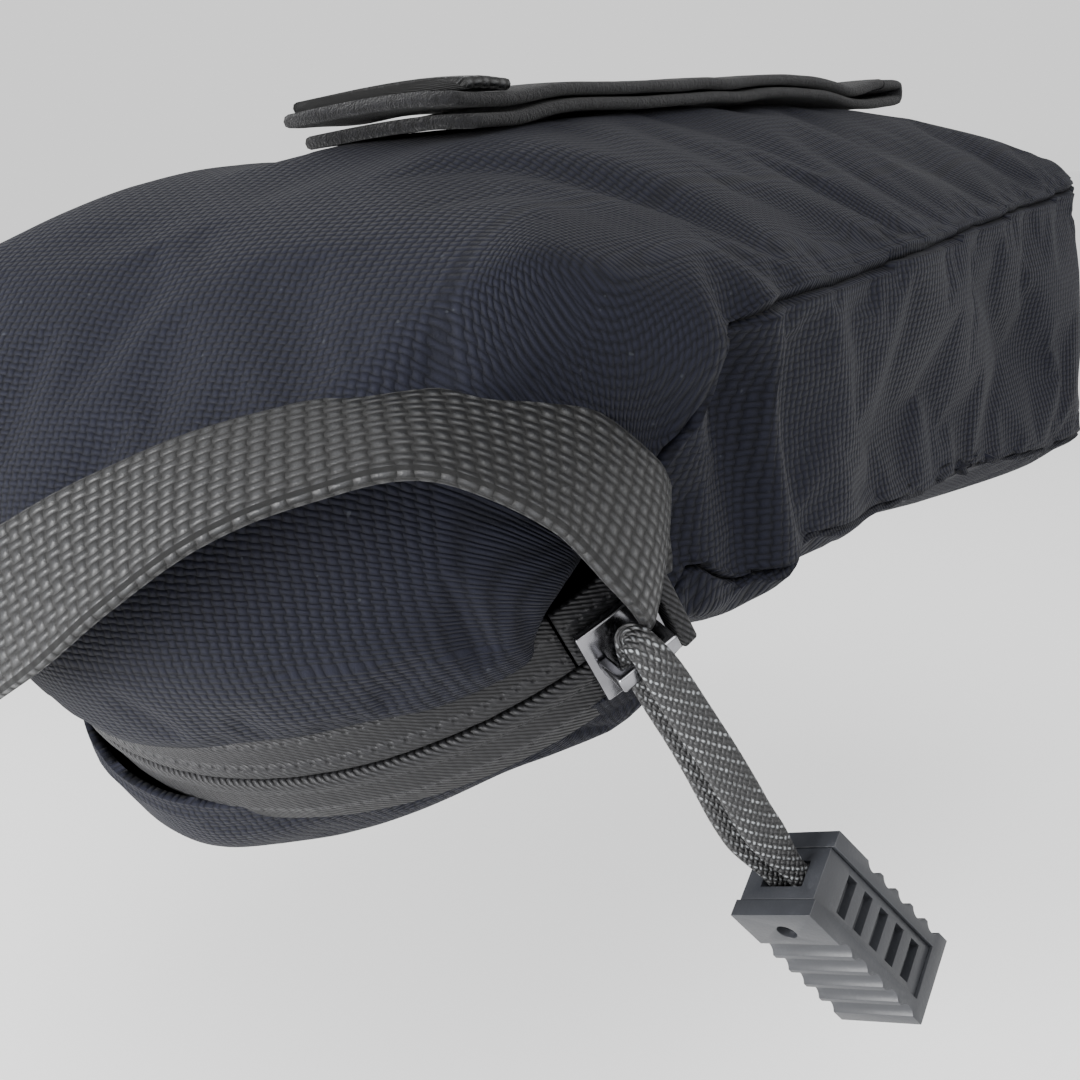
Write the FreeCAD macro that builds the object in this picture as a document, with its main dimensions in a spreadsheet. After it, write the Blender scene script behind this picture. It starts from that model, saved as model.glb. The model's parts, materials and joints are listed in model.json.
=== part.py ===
import FreeCAD, Part
import math
import os

import Sketcher

# Bicycle saddle bag. Millimetres, +Z up, +Y forward (towards the nose), +X to the rider's right.
# The bag is laid out about its zip line: the two zip ends lie on one sideways line, and every
# piece is then moved so that the origin is on the seat of the rail strap, where the saddle
# rails cross it.

V = FreeCAD.Vector
doc = FreeCAD.newDocument("SaddleBag")

SIZES = {
    # soft body
    "half_width": 48.0,          # outside of a side wall
    "nose_draw_in": 6.0,         # each side wall draws in by this much towards the nose
    "nose_front": 165.0,         # front face, ahead of the zip ends
    "nose_round": 14.0,          # upright corners of the nose
    "fabric": 1.2,               # coated woven shell with its backing
    "ridge_height": 47.0,        # top of the crown above the zip ends
    "crown_rise": 20.0,          # crown above the side seams
    "belly_depth": 30.0,         # lowest line below the zip ends
    "belly_drop": 19.0,          # belly below the side seams
    "bulge_back": 33.0,          # rearmost point of the hood over the zip
    "hood_round_extra": 0.5,     # the hood's plan radius, over half the width
    "seam_lean": 4.0,            # how far the rear seams run forward over their height
    "seam_rise": 30.0,
    "nose_seam": 14.0,           # nose panel seam, behind the front face
    "binding_width": 8.0,
    "binding_gauge": 0.8,
    # zip
    "tape_clear": 0.2,           # between the tapes and the shell's inside
    "zip_end_inset": 7.0,        # zip end from the outside of the side wall
    "zip_tilt": 35.0,            # the zip sags towards the rear
    "tape_gauge": 0.6,
    "tape_half_width": 7.5,      # from the middle of the zip to a tape's far edge
    "tape_show": 5.5,            # part of it that the shell leaves bare
    "coil_slot": 0.4,            # half of the slit between the coils
    "coil_height": 1.2,
    "coil_width": 2.0,
    "coil_pitch_angle": 3.0,
    "mouth_angle": 51.0,         # the zip opens between these angles
    "end_gap_angle": 1.2,
    "end_angle": 66.0,           # tape ends are sewn in here
    "slide_angle": 57.5,         # closed position of the slider
    # hood over the mouth
    "hood_side_inset": 13.0,     # side of the soft fold, from the outside of the side wall
    "hood_top_angle": 32.0,      # hood's upper edge, above level
    "fold_top_angle": 64.0,      # edge of the crown that the soft fold reaches
    "fold_gauge": 0.5,
    "cut_gap": 0.3,
    # slider and pull
    "plate_gauge": 1.1,
    "plate_half_width": 4.6,
    "plate_clear": 0.4,
    "post_gauge": 0.4,
    "slider_angle": 10.4,
    "lip_angle": 2.2,
    "lip_clear_angle": 0.5,
    "lip_half_width": 5.0,
    "lip_proud": 0.9,
    "crown_room": 2.8,
    "crown_gauge": 1.2,
    "crown_half_length": 3.6,
    "crown_half_width": 0.9,
    "cord_width": 2.4,
    "puller_length": 21.0,
    "puller_width": 10.0,
    "puller_depth": 10.4,
    "puller_wall": 1.9,
    "puller_hole": 2.2,
    "puller_hole_drop": 3.2,
    "puller_grip": 2.6,
    "puller_grip_pitch": 2.9,
    "puller_grip_start": 6.6,
    "puller_slot": 1.5,
    "puller_slot_pitch": 3.0,
    "puller_slot_start": 4.6,
    "puller_slot_deep": 1.2,
    "puller_slot_reach": 2.2,
    "puller_socket_deep": 5.0,
    "socket_clear": 0.3,
    "insert_clear": 0.1,
    "insert_recess": 0.4,
    "pin_clear": 0.05,
    "pin_recess": 0.8,
    # carrying pieces
    "loop_clear": 0.6,           # loop ends outside the side walls
    "loop_slack": 9.0,           # loop behind the hood
    "loop_width": 15.0,
    "loop_gauge": 1.6,
    "loop_rise_angle": 15.0,
    "loop_axis_ahead": 1.0,
    "loop_axis_up": 8.0,
    "anchor_clear": 1.5,
    "strap_width": 25.0,
    "strap_rear": 20.0,
    "strap_front_inset": 17.0,   # front end, behind the nose
    "strap_gauge": 1.6,
    "strap_gap": 0.5,
    "strap_overhang": 5.0,
    "hem_length": 7.0,
    "hem_gauge": 1.3,
    "hem_inset": 8.0,
    "label_width": 14.0,
    "label_height": 15.0,
    "label_gauge": 0.7,
    "label_rear": 7.0,
    "label_low": 8.0,
    "post_diameter": 27.2,
    "post_clear": 0.2,
    "post_strap_width": 20.0,
    "post_strap_gauge": 1.6,
    "post_lean": 17.0,
    "post_patch_gauge": 1.5,
    "post_up": 10.0,
    # reference point
    "mount_forward": 80.0,
}

sheet = doc.addObject("Spreadsheet::Sheet", "Sizes")
for row, (alias, size) in enumerate(SIZES.items(), start=1):
    sheet.set(f"A{row}", alias)
    sheet.set(f"B{row}", str(size))
    sheet.setAlias(f"B{row}", alias)
doc.recompute()


def size(alias):
    return float(sheet.get(alias))


tilt = math.radians(size("zip_tilt"))
across = V(1, 0, 0)
rearward = V(0, -math.cos(tilt), -math.sin(tilt))     # in the zip's plane
upright = V(0, -math.sin(tilt), math.cos(tilt))       # square to the zip's plane
zip_half_chord = size("half_width") - size("zip_end_inset")
zip_radius = size("half_width") - size("fabric") - size("tape_clear") - size("tape_gauge")
centre_ahead = math.sqrt(zip_radius ** 2 - zip_half_chord ** 2)
zip_centre = rearward * -centre_ahead
wall_radius = size("half_width")
origin_shift = V(0, -size("mount_forward"), -size("ridge_height") - size("strap_gauge"))
zip_turn = FreeCAD.Rotation(across, size("zip_tilt"))

nodes = []


def keep(item, label, placement):
    """Name a finished sub-part and put it in place."""
    item.Label = label
    item.Placement = placement
    nodes.append(item)
    return item


def main_solid(shape):
    """Largest solid of a boolean's result, facing outwards."""
    solid = max(shape.Solids, key=lambda piece: abs(piece.Volume))
    if solid.Volume < 0:
        solid.reverse()
    return solid


def soft(label, shape):
    """A sewn panel: its shape follows the bag's curved envelope."""
    item = doc.addObject("Part::Feature", label)
    item.Shape = main_solid(main_solid(shape).removeSplitter())
    return keep(item, label, FreeCAD.Placement(origin_shift, FreeCAD.Rotation()))


def bag_place(base=V(0, 0, 0), rotation=None):
    return FreeCAD.Placement(base + origin_shift, rotation or FreeCAD.Rotation())


def zip_place(angle=0.0):
    """Local frame of the zip: Z square to its plane, -Y towards its middle."""
    spin = FreeCAD.Rotation(V(0, 0, 1), angle)
    return FreeCAD.Placement(zip_centre + origin_shift, zip_turn.multiply(spin))


# ---------------------------------------------------------------- sketch helpers

def new_body(label):
    body = doc.addObject("PartDesign::Body", label)
    return body


def plane_of(body, role):
    for feature in body.Origin.OriginFeatures:
        if feature.Role == role:
            return feature
    raise ValueError(role)


def new_sketch(body, role, name, offset=None):
    sketch = body.newObject("Sketcher::SketchObject", name)
    sketch.AttachmentSupport = [(plane_of(body, role), "")]
    sketch.MapMode = "FlatFace"
    if offset is not None:
        sketch.AttachmentOffset = FreeCAD.Placement(offset, FreeCAD.Rotation())
    return sketch


def evaluate(expression):
    """Value of an expression of the sheet, worked out in the sheet's own spare cell."""
    sheet.set("D1", "=" + expression.replace("Sizes.", ""))
    sheet.recompute()
    return float(sheet.get("D1"))


def bind(sketch, index, expression):
    sketch.setExpression(f"Constraints[{index}]", expression)


def rectangle(sketch, left, right, low, high):
    """Rectangle whose four sides are bound to expressions of the sheet."""
    x0, x1, y0, y1 = (evaluate(e) for e in (left, right, low, high))
    corners = [V(x0, y0, 0), V(x1, y0, 0), V(x1, y1, 0), V(x0, y1, 0)]
    first = sketch.GeometryCount
    for start, end in zip(corners, corners[1:] + corners[:1]):
        sketch.addGeometry(Part.LineSegment(start, end), False)
    for side in range(4):
        sketch.addConstraint(Sketcher.Constraint("Coincident", first + side, 2, first + (side + 1) % 4, 1))
    for side, kind in enumerate(["Horizontal", "Vertical", "Horizontal", "Vertical"]):
        sketch.addConstraint(Sketcher.Constraint(kind, first + side))
    for kind, vertex, value, expression in [
            ("DistanceX", 0, x0, left), ("DistanceX", 2, x1, right),
            ("DistanceY", 0, y0, low), ("DistanceY", 2, y1, high)]:
        index = sketch.addConstraint(Sketcher.Constraint(kind, -1, 1, first + vertex, 1, value))
        bind(sketch, index, expression)


def circle(sketch, x, y, diameter):
    index = sketch.addGeometry(Part.Circle(V(evaluate(x), evaluate(y), 0), V(0, 0, 1), evaluate(diameter) / 2))
    for kind, value in [("DistanceX", x), ("DistanceY", y)]:
        row = sketch.addConstraint(Sketcher.Constraint(kind, -1, 1, index, 3, evaluate(value)))
        bind(sketch, row, value)
    row = sketch.addConstraint(Sketcher.Constraint("Diameter", index, evaluate(diameter)))
    bind(sketch, row, diameter)


def pad(body, sketch, length, centred=False, reverse=False):
    feature = body.newObject("PartDesign::Pad", "Pad")
    feature.Profile = sketch
    feature.setExpression("Length", length)
    feature.Midplane = centred
    feature.Reversed = reverse
    return feature


def pocket(body, sketch, length=None, centred=False, reverse=False):
    feature = body.newObject("PartDesign::Pocket", "Pocket")
    feature.Profile = sketch
    if length is None:
        feature.Type = 1
    else:
        feature.setExpression("Length", length)
    feature.Midplane = centred
    feature.Reversed = reverse
    return feature


def turn(body, sketch, angle, kind="Revolution", centred=True):
    """Sweep a profile about the body's Z axis."""
    feature = body.newObject(f"PartDesign::{kind}", kind)
    feature.Profile = sketch
    feature.ReferenceAxis = (sketch, ["V_Axis"])
    feature.Midplane = centred
    feature.setExpression("Angle", angle)
    return feature


def ring_piece(label, inner, outer, low, high, angle, placement):
    """Band that follows the zip: a sector of a ring."""
    body = new_body(label)
    sketch = new_sketch(body, "YZ_Plane", "Section")
    rectangle(sketch, outer, inner, low, high)
    turn(body, sketch, angle)
    return keep(body, label, placement)


# ---------------------------------------------------------------- envelope of the soft body

OUTLINE_SENSE = 1.0      # the outline runs over the top towards the nose


def side_outline(inset):
    """Closed outline of the bag from the side, pulled in by inset."""
    top = size("ridge_height")
    low = -size("belly_depth")
    front = size("nose_front")
    back = -size("bulge_back")
    points = [
        V(0, back, 0.10 * top), V(0, back + 2.6, 0.37 * top), V(0, back + 13.0, 0.66 * top),
        V(0, 0, 0.87 * top), V(0, 26.0, 0.965 * top), V(0, 0.48 * front, top),
        V(0, front - 27.0, 0.985 * top), V(0, front - 7.0, 0.80 * top), V(0, front, 0.40 * top),
        V(0, front - 1.0, 0.35 * low), V(0, front - 9.0, 0.70 * low), V(0, front - 28.0, 0.92 * low),
        V(0, 0.48 * front, low), V(0, 18.0, low), V(0, -6.0, 0.95 * low),
        V(0, back + 15.5, 0.82 * low), V(0, back + 9.5, 0.60 * low), V(0, back + 4.0, 0.20 * low),
    ]
    curve = Part.BSplineCurve()
    curve.interpolate(points, PeriodicFlag=True)
    if inset:
        curve = moved_outline(curve, inset)
    return Part.Wire(curve.toShape())


def moved_outline(curve, inset):
    """The same closed outline, a set distance further in."""
    steps = 48
    first, last = curve.FirstParameter, curve.LastParameter
    moved = []
    for step in range(steps):
        parameter = first + (last - first) * step / steps
        along = curve.tangent(parameter)[0]
        moved.append(curve.value(parameter) + V(0, along.z, -along.y) * inset * OUTLINE_SENSE)
    inner = Part.BSplineCurve()
    inner.interpolate(moved, PeriodicFlag=True)
    return inner


def side_prism(inset):
    face = Part.Face(side_outline(inset))
    face.translate(V(-100, 0, 0))
    return face.extrude(V(200, 0, 0))


def front_outline(inset):
    """The arched crown over the hanging belly, seen from the rear."""
    reach = size("half_width") + 4.0
    crown_top = size("ridge_height") + 1.0 - inset
    belly_low = -size("belly_depth") - 1.0 + inset
    crown_side = crown_top - size("crown_rise") - 3.0
    belly_side = belly_low + size("belly_drop") + 3.0
    crown = Part.Arc(V(-reach, -60, crown_side), V(0, -60, crown_top), V(reach, -60, crown_side))
    belly = Part.Arc(V(reach, -60, belly_side), V(0, -60, belly_low), V(-reach, -60, belly_side))
    right = Part.LineSegment(V(reach, -60, crown_side), V(reach, -60, belly_side))
    left = Part.LineSegment(V(-reach, -60, belly_side), V(-reach, -60, crown_side))
    return Part.Wire([item.toShape() for item in (crown, right, belly, left)])


def front_prism(inset):
    return Part.Face(front_outline(inset)).extrude(V(0, 300, 0))


def rear_prism(inset):
    """Round rear end and straight sides, square to the zip's plane."""
    radius = wall_radius - inset
    span = 400.0
    arc = Part.Arc(V(-radius, 0, 0), V(0, -radius, 0), V(radius, 0, 0))
    wire = Part.Wire([
        arc.toShape(),
        Part.LineSegment(V(radius, 0, 0), V(radius, span, 0)).toShape(),
        Part.LineSegment(V(radius, span, 0), V(-radius, span, 0)).toShape(),
        Part.LineSegment(V(-radius, span, 0), V(-radius, 0, 0)).toShape(),
    ])
    solid = Part.Face(wire).extrude(V(0, 0, 600))
    solid.translate(V(0, 0, -300))
    solid.Placement = FreeCAD.Placement(zip_centre, zip_turn).multiply(solid.Placement)
    return solid


def nose_prism(inset):
    """Sides that draw in towards the nose, with round upright corners."""
    wide = size("half_width")
    narrow = wide - size("nose_draw_in")
    front = size("nose_front")
    start = 40.0
    rear = -120.0
    points = [V(-wide, rear, 0), V(wide, rear, 0), V(wide, start, 0), V(narrow, front, 0),
              V(-narrow, front, 0), V(-wide, start, 0), V(-wide, rear, 0)]
    solid = Part.Face(Part.makePolygon(points)).extrude(V(0, 0, 300))
    solid.translate(V(0, 0, -150))
    corners = [edge for edge in solid.Edges
               if abs(edge.CenterOfMass.y - front) < 0.1 and abs(edge.CenterOfMass.x) > narrow - 0.1
               and edge.BoundBox.ZLength > 200]
    solid = solid.makeFillet(size("nose_round"), corners)
    if not inset:
        return solid
    bottom = min(solid.Faces, key=lambda face: face.CenterOfMass.z)
    inner = Part.Face(bottom.OuterWire.makeOffset2D(-inset))
    return inner.extrude(V(0, 0, 300))


def hood_prism(inset):
    """Upright prism that rounds the hood's corners off in plan."""
    radius = size("half_width") + size("hood_round_extra")
    centre = radius - size("bulge_back")
    reach = radius - inset
    arc = Part.Arc(V(-reach, centre, -150), V(0, centre - reach, -150), V(reach, centre, -150))
    corners = [V(reach, centre, -150), V(reach, 300, -150), V(-reach, 300, -150), V(-reach, centre, -150)]
    sides = [Part.LineSegment(a, b) for a, b in zip(corners, corners[1:])]
    return Part.Face(Part.Wire([item.toShape() for item in [arc] + sides])).extrude(V(0, 0, 300))


def plan_prism(inset):
    return rear_prism(inset).common(nose_prism(inset)).common(hood_prism(inset))


def fill(inset):
    """Solid between the crown and the belly, before the side walls cut it."""
    return side_prism(inset).common(front_prism(inset))


fabric = size("fabric")
gap = size("cut_gap")
outer_plan = plan_prism(0.0)
inner_plan = plan_prism(fabric)
outer_fill = fill(0.0)
inner_fill = fill(fabric)
outer_body = outer_plan.common(outer_fill)
inner_body = inner_plan.common(inner_fill)
shell = outer_body.cut(inner_body)
ring = outer_plan.cut(inner_plan).common(inner_fill)


def slab(points, half_span=100.0):
    """Prism across the bag over a polygon given in side view."""
    corners = [V(-half_span, y, z) for y, z in points]
    return Part.Face(Part.makePolygon(corners + corners[:1])).extrude(V(2 * half_span, 0, 0))


def block(x0, x1, y0, y1, z0, z1):
    return Part.makeBox(x1 - x0, y1 - y0, z1 - z0, V(x0, y0, z0))


def zip_band(inner, outer, half_height, angle, mid_angle=0.0):
    """Sector of a ring in the zip's plane, in bag coordinates."""
    start = -90.0 + mid_angle - angle / 2
    big = Part.makeCylinder(outer, 2 * half_height, V(0, 0, -half_height), V(0, 0, 1), angle)
    small = Part.makeCylinder(inner, 2 * half_height + 2, V(0, 0, -half_height - 1), V(0, 0, 1), 360)
    band = big.cut(small)
    band.rotate(V(0, 0, 0), V(0, 0, 1), start)
    band.Placement = FreeCAD.Placement(zip_centre, zip_turn).multiply(band.Placement)
    return band


lean = size("seam_lean")
rise = size("seam_rise")
nose_seam = size("nose_front") - size("nose_seam")
ahead_of_seam = slab([(0, 0), (lean, rise), (lean * 3, rise * 3), (400, rise * 3), (400, -200), (110, -110)])
ahead_of_nose = slab([(nose_seam, -200), (nose_seam, 200), (400, 200), (400, -200)])
side_ring = ring.common(ahead_of_seam)
lip_from = size("slide_angle") + size("slider_angle") / 2 + size("lip_clear_angle")
lip_room = zip_band(wall_radius - 4.0, wall_radius + 8.0, size("lip_half_width") + size("cut_gap"),
                    2 * (lip_from + size("lip_angle") + size("lip_clear_angle")))
gussets = side_ring.cut(ahead_of_nose).cut(lip_room)
right_half = block(0, 100, -100, 300, -100, 100)
left_half = block(-100, 0, -100, 300, -100, 100)
soft("gusset_right", gussets.common(right_half))
soft("gusset_left", gussets.common(left_half))
soft("nose_panel", side_ring.common(ahead_of_nose))

# The zip leaves a bare slot in the shell; above it is the hood and crown, below it the bottom.
slot = zip_band(wall_radius - 4.0, wall_radius + 8.0, size("tape_show"), 2 * size("end_angle"))
above = slab([(0, 0), (300, 0), (300, 200), (-200, 200), (-200, 0 - 200 * math.tan(tilt))])
covers = shell.cut(side_ring)
crown_and_hood = covers.common(above).cut(slot)
bottom = covers.cut(above).cut(slot)


soft("bottom_panel", main_solid(bottom))

# Sectors about the line through the zip ends, seen from the side.
FAR = 200.0


def ray(angle):
    return (-FAR * math.cos(math.radians(angle)), FAR * math.sin(math.radians(angle)))


hood_half = size("half_width") - size("hood_side_inset")
hood_top = size("hood_top_angle")
fold_top = size("fold_top_angle")
middle = block(-hood_half, hood_half, -100, 100, -100, 100)
middle_wide = block(-hood_half - gap, hood_half + gap, -100, 100, -100, 100)
below_hood_top = slab([(0, 0), ray(hood_top), ray(0), ray(-60)])
below_fold_top = slab([(0, 0), ray(fold_top), ray(hood_top), ray(0), ray(-60)])
soft("rear_hood", main_solid(crown_and_hood.common(middle).common(below_hood_top)))
soft("top_panel", main_solid(crown_and_hood.cut(middle_wide.common(below_fold_top))))

# Soft fold that lets the hood lift: a thinner strip inside the shell's own thickness.
fold_inset = (fabric - size("fold_gauge")) / 2
fold_skin = plan_prism(fold_inset).common(fill(fold_inset))
fold_skin = fold_skin.cut(plan_prism(fabric - fold_inset).common(fill(fabric - fold_inset)))
gap_angle = math.degrees(gap / 30.0)
fold_sector = slab([(0, 0), ray(fold_top - gap_angle), ray(hood_top + gap_angle)])
soft("hood_fold", main_solid(fold_skin.common(fold_sector).common(middle)))

# Bindings sewn over the raw edges inside, under both top seams.
strip = inner_plan.cut(plan_prism(fabric + size("binding_gauge")))
lowered = inner_fill.copy()
lowered.translate(V(0, 0, -size("binding_width")))
strip = strip.common(inner_fill.cut(lowered)).common(block(-100, 100, 24, nose_seam, 0, 100))
soft("binding_right", main_solid(strip.common(right_half)))
soft("binding_left", main_solid(strip.common(left_half)))

# ---------------------------------------------------------------- zip

TAPE_OUT = "-Sizes.half_width + Sizes.fabric + Sizes.tape_clear"
TAPE_IN = TAPE_OUT + " + Sizes.tape_gauge"
COIL_IN = TAPE_IN + " + Sizes.coil_height"
SLOT = "Sizes.coil_slot"
MOUTH = "2 * Sizes.mouth_angle"
ENDS = "2 * Sizes.end_angle"


def coil(label, low, high, angle, half_angle):
    """Row of coil turns sewn inside one tape: a rib notched all along."""
    body = new_body(label)
    sketch = new_sketch(body, "YZ_Plane", "Section")
    rectangle(sketch, TAPE_IN, COIL_IN, low, high)
    turn(body, sketch, angle, centred=False)
    notch_sketch = new_sketch(body, "YZ_Plane", "Notch")
    rectangle(notch_sketch, COIL_IN + " - Sizes.coil_height / 2", COIL_IN + " + 1", low + " - 1", high + " + 1")
    notch = turn(body, notch_sketch, "Sizes.coil_pitch_angle * 2 / 3", "Groove")
    pattern = body.newObject("PartDesign::PolarPattern", "Turns")
    pattern.Originals = [notch]
    pattern.Axis = (notch_sketch, ["V_Axis"])
    turns = int(2 * half_angle / size("coil_pitch_angle"))
    pattern.Angle = size("coil_pitch_angle") * turns
    pattern.Occurrences = turns + 1
    body.Tip = pattern
    return keep(body, label, zip_place(-half_angle))


end_angle = size("end_angle")
mouth_angle = size("mouth_angle")
ring_piece("zip_tape_lower", TAPE_IN, TAPE_OUT, "-Sizes.tape_half_width", "-" + SLOT, ENDS, zip_place())
ring_piece("zip_tape_upper", TAPE_IN, TAPE_OUT, SLOT, "Sizes.tape_half_width", MOUTH, zip_place())
coil("zip_coil_lower", "-" + SLOT + " - Sizes.coil_width", "-" + SLOT, ENDS, end_angle)
coil("zip_coil_upper", SLOT, SLOT + " + Sizes.coil_width", MOUTH, mouth_angle)


def zip_end(label, side):
    """Fixed end of the upper tape with its coil, and the folded lip that stops the slider."""
    body = new_body(label)
    tape = new_sketch(body, "YZ_Plane", "Tape")
    rectangle(tape, TAPE_IN, TAPE_OUT, SLOT, "Sizes.tape_half_width")
    length = "Sizes.end_angle - Sizes.mouth_angle - Sizes.end_gap_angle"
    turn(body, tape, length)
    rib = new_sketch(body, "YZ_Plane", "Rib")
    rectangle(rib, TAPE_IN, COIL_IN, SLOT, SLOT + " + Sizes.coil_width")
    turn(body, rib, length)
    middle_angle = (size("end_angle") + size("mouth_angle") + size("end_gap_angle")) / 2
    return keep(body, label, zip_place(side * middle_angle))


zip_end("zip_end_right", 1)
zip_end("zip_end_left", -1)


def zip_lip(label, side):
    """Tape end folded outwards over the zip and stitched down."""
    body = new_body(label)
    section = new_sketch(body, "YZ_Plane", "Section")
    rectangle(section, TAPE_OUT, "-Sizes.half_width - Sizes.lip_proud",
              "-Sizes.lip_half_width", "Sizes.lip_half_width")
    turn(body, section, "Sizes.lip_angle")
    return keep(body, label, zip_place(side * (lip_from + size("lip_angle") / 2)))


zip_lip("zip_lip_right", 1)
zip_lip("zip_lip_left", -1)

# ---------------------------------------------------------------- slider

PLATE_NEAR = TAPE_OUT + " - Sizes.plate_clear"
PLATE_FAR = PLATE_NEAR + " - Sizes.plate_gauge"
INNER_NEAR = COIL_IN + " + Sizes.plate_clear"
INNER_FAR = INNER_NEAR + " + Sizes.plate_gauge"


def slider_body():
    """Two plates, either side of the tapes, joined by a thin post between the coils."""
    body = new_body("slider_body")
    plate = new_sketch(body, "YZ_Plane", "OuterPlate")
    rectangle(plate, PLATE_FAR, PLATE_NEAR, "-Sizes.plate_half_width", "Sizes.plate_half_width")
    turn(body, plate, "Sizes.slider_angle")
    post = new_sketch(body, "YZ_Plane", "Post")
    rectangle(post, PLATE_NEAR + " - 0.1", INNER_NEAR + " + 0.1", "-Sizes.post_gauge / 2", "Sizes.post_gauge / 2")
    turn(body, post, "Sizes.slider_angle / 2")
    inner = new_sketch(body, "YZ_Plane", "InnerPlate")
    rectangle(inner, INNER_NEAR, INNER_FAR, "-Sizes.plate_half_width", "Sizes.plate_half_width")
    turn(body, inner, "Sizes.slider_angle")
    for name, low, high in [("UpperFlange", "Sizes.plate_half_width - 1", "Sizes.plate_half_width"),
                            ("LowerFlange", "-Sizes.plate_half_width", "-Sizes.plate_half_width + 1")]:
        flange = new_sketch(body, "YZ_Plane", name)
        rectangle(flange, INNER_NEAR + " - Sizes.coil_height / 2", INNER_NEAR + " + 0.1", low, high)
        turn(body, flange, "Sizes.slider_angle")
    return keep(body, "slider_body", zip_place(size("slide_angle")))


def slider_crown():
    """Bridge over the outer plate that the pull cord passes under."""
    body = new_body("slider_crown")
    foot = PLATE_FAR
    top = PLATE_FAR + " - Sizes.crown_room - Sizes.crown_gauge"
    bridge = new_sketch(body, "XY_Plane", "Bridge")
    rectangle(bridge, "-Sizes.crown_half_length", "Sizes.crown_half_length", top, foot)
    pad(body, bridge, "2 * Sizes.crown_half_width", centred=True)
    room = new_sketch(body, "XY_Plane", "Room")
    rectangle(room, "-Sizes.crown_half_length + Sizes.crown_gauge", "Sizes.crown_half_length - Sizes.crown_gauge",
              PLATE_FAR + " - Sizes.crown_room", foot + " + 1")
    pocket(body, room, centred=True)
    return keep(body, "slider_crown", zip_place(size("slide_angle")))


slider_body()
slider_crown()

# ---------------------------------------------------------------- pull cord and puller

# Route of the braided cord: up from the puller, under the slider's crown and back down.
CORD_ROUTE = [
    V(49.3, -71.2, -80.2),
    V(47.0, -75.6, -74.2),
    V(44.9, -80.1, -63.1),
    V(41.8, -82.0, -56.1),
    V(41.7, -86.6, -49.3),
    V(45.1, -88.3, -50.5),
    V(46.2, -84.4, -56.9),
    V(48.5, -80.8, -64.6),
    V(50.0, -76.3, -73.4),
    V(51.9, -71.8, -79.5),
]


def rounded_path(points):
    """Straight runs joined by tangent arcs, each as large as its two runs allow."""
    edges = []
    start = points[0]
    for before, corner, after in zip(points, points[1:], points[2:]):
        back = (before - corner).normalize()
        ahead = (after - corner).normalize()
        half_turn = (math.pi - back.getAngle(ahead)) / 2
        shorter = min(before.distanceToPoint(corner), after.distanceToPoint(corner))
        reach = 0.45 * shorter
        entry = corner + back * reach
        leave = corner + ahead * reach
        radius = reach / math.tan(half_turn)
        bisector = (back + ahead).normalize()
        middle = corner + bisector * (radius / math.cos(half_turn) - radius)
        edges.append(Part.LineSegment(start, entry).toShape())
        edges.append(Part.Arc(entry, middle, leave).toShape())
        print(f"cord bend radius {radius:.1f}")
        start = leave
    edges.append(Part.LineSegment(start, points[-1]).toShape())
    return Part.Wire(edges)


def pull_cord():
    path = rounded_path(CORD_ROUTE)
    radius = size("cord_width") / 2
    first = path.Edges[0]
    disc = Part.Wire(Part.makeCircle(radius, CORD_ROUTE[0], first.tangentAt(first.FirstParameter)))
    tube = path.makePipeShell([disc], True, False)
    expected = math.pi * radius ** 2 * path.Length
    print(f"cord length {path.Length:.1f}, volume {tube.Volume:.1f} of {expected:.1f}")
    item = doc.addObject("Part::Feature", "pull_cord")
    item.Shape = tube
    return keep(item, "pull_cord", FreeCAD.Placement())


pull_cord()

# The puller hangs on the end of the cord. Its own frame: Z runs back up the cord, X across
# the ridged cheeks, Y through the slotted faces.
PULLER_HEAD = V(50.0, -72.6, -78.4)
puller_along = V(-0.313, -0.553, 0.774).normalize()
puller_face = V(0.948, -0.210, 0.235)
puller_across = puller_face.cross(puller_along).normalize()
puller_face = puller_along.cross(puller_across)
puller_turn = FreeCAD.Rotation(puller_across, puller_face, puller_along, "ZXY")
puller_place = FreeCAD.Placement(PULLER_HEAD, puller_turn)


def puller_frame():
    """Moulded frame: two ridged cheeks joined across the far end."""
    body = new_body("puller_frame")
    outline = new_sketch(body, "XZ_Plane", "Outline")
    rectangle(outline, "-Sizes.puller_width / 2", "Sizes.puller_width / 2", "-Sizes.puller_length", "0")
    pad(body, outline, "Sizes.puller_depth", centred=True)
    inside = new_sketch(body, "XZ_Plane", "Inside")
    rectangle(inside, "-Sizes.puller_width / 2 + Sizes.puller_wall", "Sizes.puller_width / 2 - Sizes.puller_wall",
              "-Sizes.puller_length + Sizes.puller_wall", "1")
    pocket(body, inside, centred=True)
    for side in (-1, 1):
        groove = new_sketch(body, "XZ_Plane", "Grip")
        edge = "Sizes.puller_width / 2" if side > 0 else "-Sizes.puller_width / 2"
        circle(groove, edge + (" + 0.6" if side > 0 else " - 0.6"), "-Sizes.puller_grip_start",
               "Sizes.puller_grip")
        cut = pocket(body, groove, centred=True)
        pattern = body.newObject("PartDesign::LinearPattern", "Grips")
        pattern.Originals = [cut]
        pattern.Direction = (groove, ["V_Axis"])
        pattern.Reversed = True
        pattern.Occurrences = 5
        pattern.setExpression("Length", "4 * Sizes.puller_grip_pitch")
        body.Tip = pattern
    hole = new_sketch(body, "YZ_Plane", "PinHole")
    circle(hole, "0", "-Sizes.puller_hole_drop", "Sizes.puller_hole")
    pocket(body, hole, centred=True)
    return keep(body, "puller_frame", puller_place)


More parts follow.
